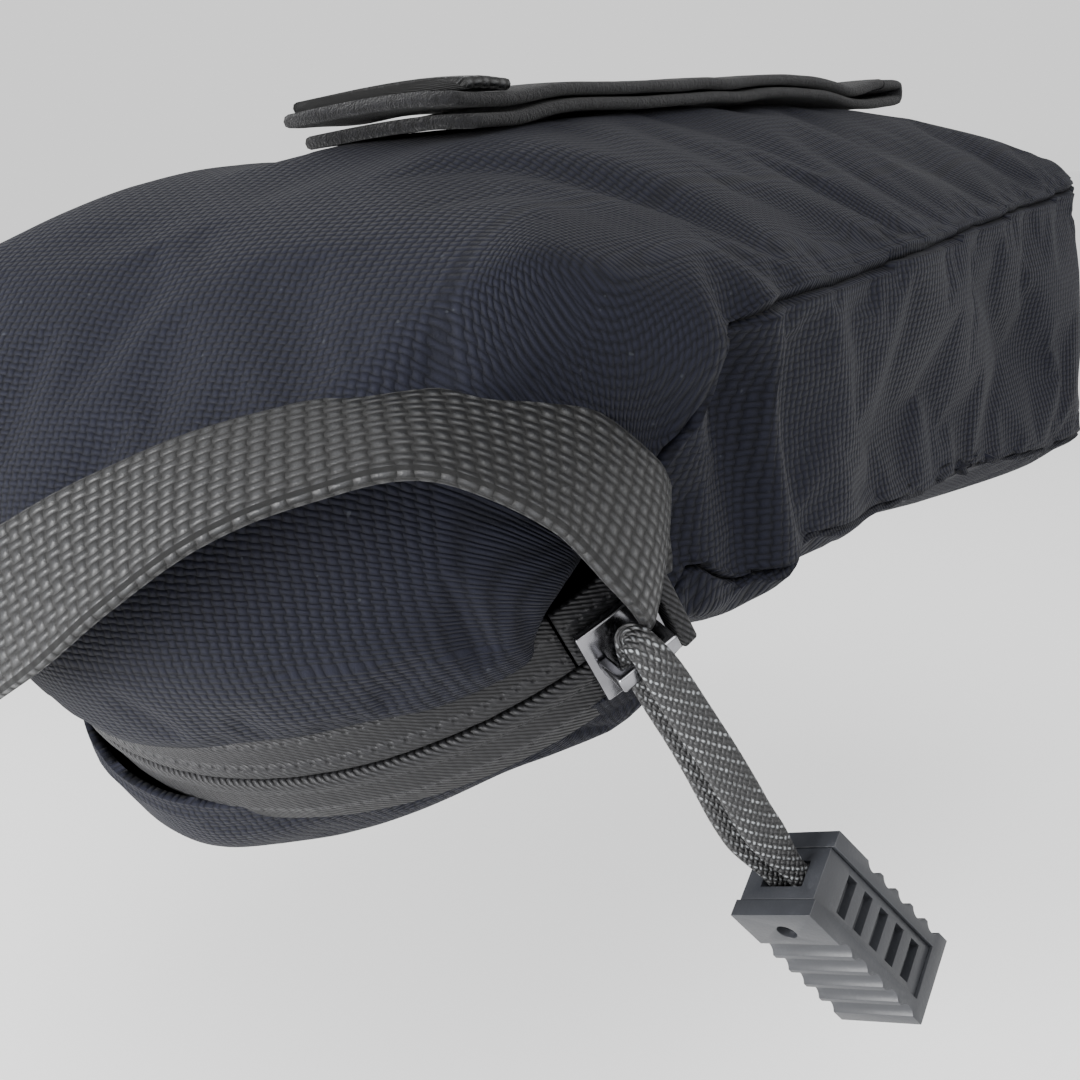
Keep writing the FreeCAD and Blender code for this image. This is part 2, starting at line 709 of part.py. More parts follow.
def puller_insert():
    """Core between the cheeks, with five slots across each broad face and the cord's socket."""
    body = new_body("puller_insert")
    outline = new_sketch(body, "XZ_Plane", "Outline")
    half = "Sizes.puller_width / 2 - Sizes.puller_wall - Sizes.insert_clear"
    rectangle(outline, "-Sizes.puller_width / 2 + Sizes.puller_wall + Sizes.insert_clear", half,
              "-Sizes.puller_length + Sizes.puller_wall + Sizes.insert_clear", "-Sizes.insert_clear")
    pad(body, outline, "Sizes.puller_depth - 2 * Sizes.insert_recess", centred=True)
    for side in (-1, 1):
        slot_sketch = new_sketch(body, "YZ_Plane", "Slot")
        face = "Sizes.puller_depth / 2" if side > 0 else "-Sizes.puller_depth / 2"
        floor = face + (" - " if side > 0 else " + ") + "Sizes.insert_recess"
        floor += (" - " if side > 0 else " + ") + "Sizes.puller_slot_deep"
        low, high = (floor, face) if side > 0 else (face, floor)
        rectangle(slot_sketch, low, high, "-Sizes.puller_slot_start - Sizes.puller_slot / 2",
                  "-Sizes.puller_slot_start + Sizes.puller_slot / 2")
        cut = pocket(body, slot_sketch, "2 * Sizes.puller_slot_reach", centred=True)
        pattern = body.newObject("PartDesign::LinearPattern", "Slots")
        pattern.Originals = [cut]
        pattern.Direction = (slot_sketch, ["V_Axis"])
        pattern.Reversed = True
        pattern.Occurrences = 5
        pattern.setExpression("Length", "4 * Sizes.puller_slot_pitch")
        body.Tip = pattern
    socket = new_sketch(body, "XY_Plane", "CordSocket")
    rectangle(socket, "-Sizes.cord_width / 2 - Sizes.socket_clear", "Sizes.cord_width / 2 + Sizes.socket_clear",
              "-Sizes.cord_width - Sizes.socket_clear", "Sizes.cord_width + Sizes.socket_clear")
    pocket(body, socket, "Sizes.puller_socket_deep")
    pin_hole = new_sketch(body, "YZ_Plane", "PinHole")
    circle(pin_hole, "0", "-Sizes.puller_hole_drop", "Sizes.puller_hole")
    pocket(body, pin_hole, centred=True)
    return keep(body, "puller_insert", puller_place)


def puller_pin():
    """Pin across the cheeks that the cord's ends are knotted round."""
    body = new_body("puller_pin")
    section = new_sketch(body, "YZ_Plane", "Section")
    circle(section, "0", "-Sizes.puller_hole_drop", "Sizes.puller_hole - 2 * Sizes.pin_clear")
    pad(body, section, "Sizes.puller_width - 2 * Sizes.pin_recess", centred=True)
    return keep(body, "puller_pin", puller_place)


puller_frame()
puller_insert()
puller_pin()

# ---------------------------------------------------------------- webbing and straps

loop_half_span = size("half_width") + size("loop_clear")
loop_reach = size("bulge_back") + size("loop_slack")
loop_radius = (loop_half_span ** 2 + loop_reach ** 2) / (2 * loop_reach)
loop_rest = FreeCAD.Rotation(across, -size("loop_rise_angle"))
LOOP_AXIS = V(0, size("loop_axis_ahead"), size("loop_axis_up"))


def light_loop():
    """Webbing arch over the hood for a clip-on rear light."""
    body = new_body("light_loop")
    sketch = new_sketch(body, "YZ_Plane", "Section")
    half_span = "(Sizes.half_width + Sizes.loop_clear)"
    reach = "(Sizes.bulge_back + Sizes.loop_slack)"
    radius = f"({half_span} ^ 2 + {reach} ^ 2) / (2 * {reach})"
    rectangle(sketch, "-" + radius + " - Sizes.loop_gauge", "-" + radius,
              "-Sizes.loop_width / 2", "Sizes.loop_width / 2")
    feature = body.newObject("PartDesign::Revolution", "Arch")
    feature.Profile = sketch
    feature.ReferenceAxis = (sketch, ["V_Axis"])
    feature.Midplane = True
    feature.Angle = 2 * math.degrees(math.atan2(loop_half_span, loop_radius - loop_reach))
    ahead = loop_rest.multVec(V(0, loop_radius - loop_reach, 0))
    return keep(body, "light_loop", bag_place(LOOP_AXIS + ahead, loop_rest))


light_loop()


def loop_anchor(label, side):
    """Folded webbing end sewn into the side seam, beside the loop's end."""
    x0 = zip_half_chord - 1.0
    x1 = loop_half_span - size("anchor_clear")
    lift = size("loop_width") / 2
    pad_block = block(x0, x1, LOOP_AXIS.y - 2.5, LOOP_AXIS.y + 5.0, LOOP_AXIS.z - lift + 3.0, LOOP_AXIS.z + lift)
    if side < 0:
        pad_block = pad_block.mirror(V(0, 0, 0), across)
    return soft(label, pad_block.cut(outer_body).cut(lip_room))


loop_anchor("loop_anchor_right", 1)
loop_anchor("loop_anchor_left", -1)


def outline_band(low, high, zone):
    """Strip that follows the bag's side outline between two distances outside it."""
    outer = Part.Face(side_outline(-high))
    inner = Part.Face(side_outline(-low))
    band = outer.cut(inner)
    band.translate(V(-100, 0, 0))
    return main_solid(band.extrude(V(200, 0, 0)).common(zone))


half_strap = size("strap_width") / 2
gauge = size("strap_gauge")
strap_rear = size("strap_rear")
strap_front = size("nose_front") - size("strap_front_inset")
hook_low = gauge + size("strap_gap")
hook_high = hook_low + gauge
hook_rear = strap_rear - size("strap_overhang")
soft("rail_strap_base", outline_band(0, gauge, block(-half_strap, half_strap, strap_rear, strap_front, 0, 100)))
soft("rail_strap_hook", outline_band(hook_low, hook_high,
                                     block(-half_strap, half_strap, hook_rear, strap_front - gap, 0, 100)))
soft("rail_strap_fold", outline_band(0, hook_low, block(-half_strap, half_strap, strap_front,
                                                        strap_front + gauge, 0, 100)))
hem_zone = block(-half_strap, half_strap, hook_rear + size("hem_inset"),
                 hook_rear + size("hem_inset") + size("hem_length"), 0, 100)
soft("rail_strap_hem", outline_band(hook_high, hook_high + size("hem_gauge"), hem_zone))

label_zone = block(-100, 0, size("label_rear"), size("label_rear") + size("label_width"),
                   size("label_low"), size("label_low") + size("label_height"))
soft("side_label", main_solid(plan_prism(-size("label_gauge")).cut(outer_plan).common(label_zone)))

# ---------------------------------------------------------------- seat post strap

post_inner = size("post_diameter") / 2 + size("post_clear")
post_outer = post_inner + size("post_strap_gauge")
post_half = size("post_strap_width") / 2
post_turn = FreeCAD.Rotation(across, size("post_lean"))
post_ahead = (size("nose_front") + size("post_patch_gauge") + post_outer / math.cos(math.radians(size("post_lean")))
              + post_half * math.sin(math.radians(size("post_lean"))))
POST_CENTRE = V(0, post_ahead, size("post_up"))


def post_strap():
    body = new_body("post_strap")
    sketch = new_sketch(body, "YZ_Plane", "Section")
    inner = "Sizes.post_diameter / 2 + Sizes.post_clear"
    rectangle(sketch, inner, inner + " + Sizes.post_strap_gauge", "-Sizes.post_strap_width / 2",
              "Sizes.post_strap_width / 2")
    turn(body, sketch, "360")
    return keep(body, "post_strap", bag_place(POST_CENTRE, post_turn))


def post_patch():
    """Stiff wedge sewn on the nose that carries the seat post strap."""
    half = size("post_strap_width") / 2
    wedge = block(-half, half, nose_seam, size("nose_front") + 20, size("post_up") - half, size("post_up") + half)
    beyond = Part.makeBox(200, 100, 200, V(-100, -post_outer, -100))
    beyond.Placement = FreeCAD.Placement(POST_CENTRE, post_turn).multiply(beyond.Placement)
    return soft("post_patch", main_solid(wedge.cut(beyond).cut(outer_body)))


post_strap()
post_patch()

# ---------------------------------------------------------------- checks and files

doc.recompute()
for item in doc.Objects:
    if "Invalid" in item.State or "Error" in item.State:
        raise RuntimeError(f"{item.Name} failed: {item.State}")
for item in nodes:
    shape = item.Shape
    if shape.isNull() or not shape.isValid() or len(shape.Solids) != 1 or shape.Volume <= 0:
        raise RuntimeError(f"{item.Label} is not one valid solid")

os.makedirs("parts", exist_ok=True)
for item in nodes:
    item.Shape.exportStep(f"parts/{item.Label}.step")
print(len(nodes), "parts")
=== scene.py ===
import json
import math

import bmesh
import bpy
from mathutils import Matrix, Vector, noise
from mathutils.bvhtree import BVHTree
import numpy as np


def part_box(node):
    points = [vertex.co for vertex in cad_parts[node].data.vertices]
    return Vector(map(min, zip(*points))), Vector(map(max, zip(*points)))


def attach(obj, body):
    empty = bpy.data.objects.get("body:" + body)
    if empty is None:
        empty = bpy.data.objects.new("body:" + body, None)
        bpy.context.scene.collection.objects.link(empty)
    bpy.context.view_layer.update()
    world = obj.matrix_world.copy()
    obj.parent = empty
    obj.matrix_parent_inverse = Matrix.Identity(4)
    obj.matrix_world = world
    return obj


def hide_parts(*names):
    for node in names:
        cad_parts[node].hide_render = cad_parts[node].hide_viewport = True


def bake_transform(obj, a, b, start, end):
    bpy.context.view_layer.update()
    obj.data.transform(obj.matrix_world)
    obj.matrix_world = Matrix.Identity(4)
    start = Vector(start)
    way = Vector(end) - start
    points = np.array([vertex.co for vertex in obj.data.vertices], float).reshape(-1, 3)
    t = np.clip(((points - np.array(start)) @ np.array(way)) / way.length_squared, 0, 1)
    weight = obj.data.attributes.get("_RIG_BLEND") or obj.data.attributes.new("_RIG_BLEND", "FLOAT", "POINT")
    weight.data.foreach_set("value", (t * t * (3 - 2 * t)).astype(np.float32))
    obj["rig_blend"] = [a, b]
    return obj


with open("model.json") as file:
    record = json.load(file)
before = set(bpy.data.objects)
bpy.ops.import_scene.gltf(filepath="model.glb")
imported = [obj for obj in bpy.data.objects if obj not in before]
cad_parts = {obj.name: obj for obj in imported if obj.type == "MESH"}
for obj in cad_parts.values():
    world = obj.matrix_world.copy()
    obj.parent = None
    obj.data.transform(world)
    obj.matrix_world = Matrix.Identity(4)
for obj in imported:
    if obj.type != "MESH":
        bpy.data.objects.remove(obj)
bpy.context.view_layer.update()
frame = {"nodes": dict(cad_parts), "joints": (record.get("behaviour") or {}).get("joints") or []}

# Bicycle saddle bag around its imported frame. Metres, +Z up, +Y towards the nose, +X to the right.
# Soft pieces are laid out from the line through the two zip ends, in millimetres (see "bag").

MM = 0.001
NODES = frame["nodes"]
JOINTS = {joint["name"]: joint for joint in frame["joints"]}
ZIP_LINE = Vector(JOINTS["hood_lift"]["pos_m"])


def bag(x, y, z):
    """A point given in millimetres from the middle of the line through the zip ends."""
    return ZIP_LINE + Vector((x, y, z)) * MM


def smooth(value, low=0.0, high=1.0):
    """0 below low, 1 above high, and an S curve between them."""
    share = min(max((value - low) / (high - low), 0.0), 1.0)
    return share * share * (3.0 - 2.0 * share)


def add_object(name, data):
    item = bpy.data.objects.new(name, data)
    bpy.context.scene.collection.objects.link(item)
    return item


# ---------------------------------------------------------------- camera, light and floor

CAMERA_AZIMUTH = math.radians(32.9)
CAMERA_ELEVATION = math.radians(11.7)
CAMERA_ROLL = math.radians(-5.5)
CAMERA_PLACE = bag(120.2, -141.1, 41.1)
CAMERA_LENS = 56.5
WORLD_STRENGTH = 1.15
FLOOR_LEVEL = -0.13
FLOOR_SPAN = 6.0             # from the middle to each edge


def add_camera():
    away = Vector((math.sin(CAMERA_AZIMUTH) * math.cos(CAMERA_ELEVATION),
                   -math.cos(CAMERA_AZIMUTH) * math.cos(CAMERA_ELEVATION),
                   math.sin(CAMERA_ELEVATION)))
    level = (-away).cross(Vector((0, 0, 1))).normalized()
    above = level.cross(-away)
    right = math.cos(CAMERA_ROLL) * level + math.sin(CAMERA_ROLL) * above
    up = -math.sin(CAMERA_ROLL) * level + math.cos(CAMERA_ROLL) * above
    data = bpy.data.cameras.new("camera")
    data.lens = CAMERA_LENS
    data.clip_start = 0.005
    item = add_object("camera", data)
    turn = Matrix((right, up, away)).transposed().to_4x4()
    item.matrix_world = Matrix.Translation(CAMERA_PLACE) @ turn
    bpy.context.scene.camera = item


def add_area_light(name, place, target, width, power):
    """A round lamp at a place, turned to its target."""
    data = bpy.data.lights.new(name, "AREA")
    data.shape = "DISK"
    data.size = width
    data.energy = power
    item = add_object(name, data)
    item.location = place
    item.rotation_euler = (place - target).to_track_quat("Z", "Y").to_euler()


def add_world(strength):
    world = bpy.data.worlds.new("studio")
    world.use_nodes = True
    background = world.node_tree.nodes["Background"]
    background.inputs["Color"].default_value = (1.0, 1.0, 1.0, 1.0)
    background.inputs["Strength"].default_value = strength
    bpy.context.scene.world = world


def add_floor(level):
    mesh = bpy.data.meshes.new("floor")
    corners = [(x * FLOOR_SPAN, y * FLOOR_SPAN, level) for x, y in ((-1, -1), (1, -1), (1, 1), (-1, 1))]
    mesh.from_pydata(corners, [], [(0, 1, 2, 3)])
    floor = add_object("floor", mesh)
    paint = bpy.data.materials.new("floor_pale")
    paint.use_nodes = True
    bsdf = paint.node_tree.nodes["Principled BSDF"]
    bsdf.inputs["Base Color"].default_value = (0.93, 0.93, 0.93, 1.0)
    bsdf.inputs["Roughness"].default_value = 0.9
    mesh.materials.append(paint)


# ---------------------------------------------------------------- materials

class Paint:
    """A material under construction: short names for its nodes and links."""

    def __init__(self, name, **sockets):
        self.material = bpy.data.materials.new(name)
        self.material.use_nodes = True
        self.tree = self.material.node_tree
        self.bsdf = self.tree.nodes["Principled BSDF"]
        for socket, value in sockets.items():
            self.bsdf.inputs[socket.replace("_", " ")].default_value = value

    def node(self, kind, **settings):
        item = self.tree.nodes.new(kind)
        for key, value in settings.items():
            setattr(item, key, value)
        return item

    def link(self, source, target):
        if isinstance(source, (int, float)):
            target.default_value = source
        else:
            self.tree.links.new(source, target)

    def math(self, operation, first, second=0.0, third=0.0):
        item = self.node("ShaderNodeMath", operation=operation)
        for value, socket in zip((first, second, third), item.inputs):
            self.link(value, socket)
        return item.outputs[0]

    def uv(self):
        """The two real-size surface coordinates, in metres."""
        split = self.node("ShaderNodeSeparateXYZ")
        self.link(self.node("ShaderNodeUVMap", uv_map="weave").outputs["UV"], split.inputs[0])
        return split.outputs[0], split.outputs[1]

    def place(self):
        return self.node("ShaderNodeTexCoord").outputs["Object"]

    def noise(self, scale, detail=3.0, coordinates=None, distortion=0.0):
        item = self.node("ShaderNodeTexNoise")
        self.link(coordinates or self.place(), item.inputs["Vector"])
        item.inputs["Scale"].default_value = scale
        item.inputs["Detail"].default_value = detail
        item.inputs["Distortion"].default_value = distortion
        return item.outputs["Fac"]

    def ramp(self, value, *stops):
        """Colours at places from 0 to 1: (place, (r, g, b))."""
        item = self.node("ShaderNodeValToRGB")
        self.link(value, item.inputs["Fac"])
        elements = item.color_ramp.elements
        while len(elements) < len(stops):
            elements.new(0.5)
        for element, (where, colour) in zip(elements, stops):
            element.position = where
            element.color = (*colour, 1.0)
        return item.outputs["Color"]

    def steps(self, value, *stops):
        """Grey levels at places from 0 to 1, as one number."""
        return self.ramp(value, *((where, (level, level, level)) for where, level in stops))

    def mix(self, share, first, second, kind="MIX"):
        item = self.node("ShaderNodeMix", data_type="RGBA", blend_type=kind)
        self.link(share, item.inputs["Factor"])
        for value, socket in ((first, item.inputs["A"]), (second, item.inputs["B"])):
            if isinstance(value, tuple):
                socket.default_value = (*value, 1.0)
            else:
                self.link(value, socket)
        return item.outputs["Result"]

    def bump(self, height, depth, strength=1.0, below=None):
        item = self.node("ShaderNodeBump")
        item.inputs["Strength"].default_value = strength
        item.inputs["Distance"].default_value = depth
        self.link(height, item.inputs["Height"])
        if below is not None:
            self.link(below, item.inputs["Normal"])
        return item.outputs["Normal"]

    def finish(self, colour=None, roughness=None, normal=None):
        for value, socket in ((colour, "Base Color"), (roughness, "Roughness"), (normal, "Normal")):
            if value is not None:
                self.link(value, self.bsdf.inputs[socket])
        return self.material


def plain_weave(paint, u, v, pitch_u, pitch_v):
    """Height of a plain weave: each thread rises over every other thread that it crosses."""
    a = paint.math("DIVIDE", u, pitch_u)
    b = paint.math("DIVIDE", v, pitch_v)
    heights = []
    for own, other, shift in ((a, b, 0.0), (b, a, 1.0)):
        round_top = paint.math("ABSOLUTE", paint.math("SINE", paint.math("MULTIPLY", own, math.pi)))
        row = paint.math("ADD", paint.math("FLOOR", own), shift)
        phase = paint.math("MULTIPLY", paint.math("ADD", other, row), math.pi)
        rise = paint.math("MULTIPLY_ADD", paint.math("SINE", phase), 0.5, 0.5)
        heights.append(paint.math("MULTIPLY", round_top, rise))
    return paint.math("MAXIMUM", *heights)


def woven_fabric(name, pitch_u, pitch_v, deep, bright, depth):
    """Coated plain-weave shell fabric: painted shade in the gaps, painted highlights on the thread tops,
    faint wear and pale grey specks.
    """
    paint = Paint(name, Sheen_Weight=0.02, Sheen_Roughness=0.45, Specular_IOR_Level=0.10)
    u, v = paint.uv()
    wander = paint.noise(260.0, 2.0)
    u = paint.math("MULTIPLY_ADD", wander, 0.0004, u)
    v = paint.math("MULTIPLY_ADD", paint.noise(190.0, 2.0), 0.0004, v)
    height = plain_weave(paint, u, v, pitch_u, pitch_v)
    fibre = paint.noise(5200.0, 2.0)
    height = paint.math("MULTIPLY_ADD", fibre, 0.22, height)
    patch = paint.noise(38.0, 4.0)
    # painted shade in the gaps between threads and painted highlight on the thread tops
    tone = paint.mix(paint.steps(height, (0.15, 0.0), (0.95, 1.0)), deep, bright)
    tone = paint.mix(paint.steps(patch, (0.35, 0.0), (0.75, 0.3)), tone, bright)
    speck = paint.steps(paint.noise(900.0, 1.0), (0.77, 0.0), (0.80, 0.5))
    tone = paint.mix(speck, tone, (0.03, 0.033, 0.04))
    rough = paint.math("MULTIPLY_ADD", patch, 0.16, 0.62)
    return paint.finish(tone, rough, paint.bump(height, depth))


def ribbed_webbing(name, pitch_u, pitch_v, deep, bright, depth):
    """Heavy webbing: rows of raised glossy thread tops, painted lighter as a painted highlight with painted
    shade between them, each row half a step along from the next.
    """
    paint = Paint(name, Specular_IOR_Level=0.38)
    u, v = paint.uv()
    v = paint.math("MULTIPLY_ADD", paint.noise(300.0, 2.0), 0.0003, v)
    height = plain_weave(paint, u, v, pitch_u, pitch_v)
    height = paint.math("MULTIPLY_ADD", paint.noise(6000.0, 2.0), 0.18, height)
    # painted highlight on the raised thread tops, painted shade between them
    tone = paint.mix(paint.steps(height, (0.55, 0.0), (0.98, 1.0)), deep, bright)
    rough = paint.steps(height, (0.3, 0.75), (0.95, 0.36))
    return paint.finish(tone, rough, paint.bump(height, depth))


def twill_tape(name, half_width, rows, deep, bright, depth):
    """Zip tape: fine slanting twill with rows of stitching along it, painted lighter on the raised ribs and
    stitches as a painted highlight and darker in the grooves as painted shade.
    """
    paint = Paint(name, Specular_IOR_Level=0.25)
    u, v = paint.uv()
    slant = paint.math("ADD", paint.math("DIVIDE", u, 0.00055), paint.math("DIVIDE", v, 0.00085))
    rib = paint.math("ABSOLUTE", paint.math("SINE", paint.math("MULTIPLY", slant, math.pi)))
    step = paint.math("ABSOLUTE", paint.math("SINE", paint.math("MULTIPLY", v, math.pi / 0.0011)))
    height = paint.math("MULTIPLY", rib, paint.math("MULTIPLY_ADD", step, 0.4, 0.6))
    for row in rows:
        off = paint.math("ABSOLUTE", paint.math("SUBTRACT", u, row * half_width))
        near = paint.steps(paint.math("DIVIDE", off, 0.0006), (0.2, 1.0), (0.75, 0.0))
        dash = paint.math("ABSOLUTE", paint.math("SINE", paint.math("MULTIPLY", v, math.pi / 0.0017)))
        stitch = paint.math("MULTIPLY", near, paint.steps(dash, (0.2, 0.0), (0.6, 1.0)))
        height = paint.math("MULTIPLY_ADD", stitch, 0.9, height)
    # painted highlight on the raised ribs and stitches, painted shade in the grooves
    tone = paint.mix(paint.steps(height, (0.2, 0.0), (0.65, 1.0)), deep, bright)
    return paint.finish(tone, paint.math("MULTIPLY_ADD", height, -0.12, 0.62), paint.bump(height, depth))


def braid(name, pitch, deep, bright, depth):
    """Braided cord: slanting strands that cross both ways, painted lighter on their raised tops as a painted
    highlight, with paler flecks on one set.
    """
    paint = Paint(name, Specular_IOR_Level=0.5)
    u, v = paint.uv()
    a = paint.math("ADD", u, paint.math("MULTIPLY", v, 0.75))
    b = paint.math("SUBTRACT", u, paint.math("MULTIPLY", v, 0.75))
    height = plain_weave(paint, a, b, pitch, pitch)
    fleck_row = paint.math("FRACT", paint.math("DIVIDE", a, 2 * pitch))
    fleck = paint.math("MULTIPLY", paint.steps(fleck_row, (0.45, 0.0), (0.55, 1.0)),
                       paint.steps(height, (0.6, 0.0), (0.9, 1.0)))
    fleck = paint.math("MULTIPLY", fleck, paint.steps(paint.noise(420.0, 1.0), (0.42, 0.25), (0.58, 1.0)))
    # painted highlight on the raised strands, painted shade where they dip
    tone = paint.mix(paint.steps(height, (0.3, 0.0), (1.0, 0.6)), deep, bright)
    tone = paint.mix(fleck, tone, (0.19, 0.20, 0.21))
    height = paint.math("MULTIPLY_ADD", paint.noise(7000.0, 2.0), 0.2, height)
    return paint.finish(tone, 0.58, paint.bump(height, depth))


def moulded_plastic(name, colour, worn, roughness):
    """Moulded plastic with fine grain, pale clouds and a few scratches."""
    paint = Paint(name, Specular_IOR_Level=0.45)
    grain = paint.noise(2600.0, 3.0)
    cloud = paint.noise(130.0, 4.0)
    tone = paint.mix(paint.steps(cloud, (0.35, 0.0), (0.8, 0.5)), colour, worn)
    scratch = paint.steps(paint.noise(700.0, 6.0, distortion=2.0), (0.62, 0.0), (0.7, 1.0))
    tone = paint.mix(paint.math("MULTIPLY", scratch, 0.35), tone, worn)
    rough = paint.math("MULTIPLY_ADD", cloud, 0.18, roughness - 0.09)
    return paint.finish(tone, rough, paint.bump(grain, 0.00004, 0.6))


def dark_metal(name, colour, roughness):
    """Plated casting with a faint cloud in its colour and polish."""
    paint = Paint(name, Metallic=1.0)
    cloud = paint.noise(240.0, 4.0)
    paler = tuple(1.6 * part for part in colour)
    tone = paint.mix(paint.steps(cloud, (0.4, 0.0), (0.7, 1.0)), colour, paler)
    rough = paint.math("MULTIPLY_ADD", cloud, 0.14, roughness - 0.07)
    return paint.finish(tone, rough, paint.bump(paint.noise(1500.0, 3.0), 0.00002, 0.5))


def hook_loop(name, deep, bright):
    """Fuzzy pile of hook-and-loop tape, painted paler where the pile rises as a painted highlight."""
    paint = Paint(name, Sheen_Weight=0.08, Sheen_Roughness=0.6, Specular_IOR_Level=0.12)
    pile = paint.noise(1700.0, 5.0, distortion=1.5)
    clump = paint.noise(420.0, 3.0)
    height = paint.math("MULTIPLY_ADD", clump, 0.6, pile)
    # painted highlight where the pile stands highest
    tone = paint.mix(paint.steps(pile, (0.35, 0.0), (0.75, 1.0)), deep, bright)
    return paint.finish(tone, 0.85, paint.bump(height, 0.0004))


def woven_label(name):
    """Glossy ribbed satin label, orange-red, with painted shade as dark lines between its ribs."""
    paint = Paint(name, Specular_IOR_Level=0.3)
    u, v = paint.uv()
    rib = paint.math("ABSOLUTE", paint.math("SINE", paint.math("MULTIPLY", v, math.pi / 0.0008)))
    thread = paint.math("ABSOLUTE", paint.math("SINE", paint.math("MULTIPLY", u, math.pi / 0.0003)))
    height = paint.math("MULTIPLY_ADD", thread, 0.25, rib)
    # painted shade in the grooves between the ribs, orange-red on the rib tops
    tone = paint.ramp(rib, (0.05, (0.09, 0.01, 0.004)), (0.4, (0.50, 0.045, 0.008)),
                      (1.0, (0.72, 0.09, 0.015)))
    return paint.finish(tone, 0.45, paint.bump(height, 0.00015))


# pitches and depths in metres; for the woven ones, colours from the painted shade in the gaps to the painted
# highlight on the thread tops
FABRIC = woven_fabric("navy_weave", 0.00105, 0.00082, (0.0005, 0.0006, 0.0014),
                      (0.0062, 0.0068, 0.0125), 0.00022)
WEBBING = ribbed_webbing("black_webbing", 0.0011, 0.0017, (0.0005, 0.0005, 0.0006),
                         (0.018, 0.0185, 0.020), 0.0005)
TAPE = twill_tape("zip_tape_twill", 0.0075, (-0.72, 0.72, 0.3, -0.3), (0.0008, 0.0008, 0.001),
                  (0.012, 0.012, 0.0135), 0.0002)
BRAID = braid("black_braid", 0.0007, (0.0012, 0.0012, 0.0015), (0.014, 0.014, 0.016), 0.0003)
PLASTIC = moulded_plastic("dark_grey_plastic", (0.014, 0.015, 0.018), (0.035, 0.037, 0.042), 0.42)
METAL = dark_metal("black_nickel", (0.16, 0.16, 0.17), 0.20)
COIL = moulded_plastic("black_coil", (0.010, 0.010, 0.011), (0.03, 0.03, 0.033), 0.4)
PILE = hook_loop("hook_and_loop", (0.0008, 0.0008, 0.001), (0.007, 0.007, 0.009))
LABEL = woven_label("orange_label")


# ---------------------------------------------------------------- mesh helpers

def add_mesh(name, vertices, faces, material, uvs=None):
    """A mesh object; uvs holds one (u, v) in metres for each vertex."""
    mesh = bpy.data.meshes.new(name)
    mesh.from_pydata([tuple(place) for place in vertices], [], faces)
    mesh.materials.append(material)
    if uvs is not None:
        layer = mesh.uv_layers.new(name="weave")
        for loop in mesh.loops:
            layer.data[loop.index].uv = uvs[loop.vertex_index]
    for face in mesh.polygons:
        face.use_smooth = True
    return add_object(name, mesh)


def tube_faces(rings, count):
    """Faces of a closed tube: rings of count places each, and a cap at each end."""
    faces = []
    for ring in range(rings - 1):
        for step in range(count):
            a = ring * count + step
            b = ring * count + (step + 1) % count
            faces.append((a, b, b + count, a + count))
    last = (rings - 1) * count
    return faces + [tuple(range(count)), tuple(range(last, last + count))]


def tidy_normals(item):
    work = bmesh.new()
    work.from_mesh(item.data)
    bmesh.ops.recalc_face_normals(work, faces=work.faces)
    work.to_mesh(item.data)
    work.free()


def add_tube(name, vertices, count, material, uvs):
    """A closed tube from its rings of places, with its faces looking outwards."""
    item = add_mesh(name, vertices, tube_faces(len(vertices) // count, count), material, uvs)
    tidy_normals(item)
    return item


def place_piece(item, body, slot, *nodes):
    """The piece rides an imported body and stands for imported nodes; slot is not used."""
    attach(item, body)
    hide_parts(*nodes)


def curve_through(points, count):
    """count places spread evenly along one smooth line through the points (Catmull-Rom)."""
    ends = [2 * points[0] - points[1]] + list(points) + [2 * points[-1] - points[-2]]
    fine = []
    for a, b, c, d in zip(ends, ends[1:], ends[2:], ends[3:]):
        for step in range(24):
            t = step / 24
            fine.append(0.5 * (2 * b + (c - a) * t + (2 * a - 5 * b + 4 * c - d) * t ** 2
                               + (3 * b - a - 3 * c + d) * t ** 3))
    fine.append(points[-1].copy())
    lengths = [0.0]
    for a, b in zip(fine, fine[1:]):
        lengths.append(lengths[-1] + (b - a).length)
    places = []
    index = 0
    for step in range(count):
        goal = lengths[-1] * step / (count - 1)
        while index < len(fine) - 2 and lengths[index + 1] < goal:
            index += 1
        share = (goal - lengths[index]) / max(lengths[index + 1] - lengths[index], 1e-9)
        places.append(fine[index].lerp(fine[index + 1], min(share, 1.0)))
    return places


def strap_section(width, gauge, crown=0.0):
    """Outline of flat webbing with round edges, as (across, out) pairs, going once round."""
    half = width / 2 - gauge / 2
    flat_steps = 10
    round_steps = 4
    outline = []
    for step in range(flat_steps + 1):
        x = -half + 2 * half * step / flat_steps
        outline.append((x, gauge / 2 + crown * (1 - (x / half) ** 2)))
    for step in range(1, round_steps):
        turn = math.pi / 2 - math.pi * step / round_steps
        outline.append((half + math.cos(turn) * gauge / 2, math.sin(turn) * gauge / 2))
    for step in range(flat_steps + 1):
        x = half - 2 * half * step / flat_steps
        outline.append((x, -gauge / 2 + crown * (1 - (x / half) ** 2)))
    for step in range(1, round_steps):
        turn = -math.pi / 2 - math.pi * step / round_steps
        outline.append((-half + math.cos(turn) * gauge / 2, math.sin(turn) * gauge / 2))
    return outline


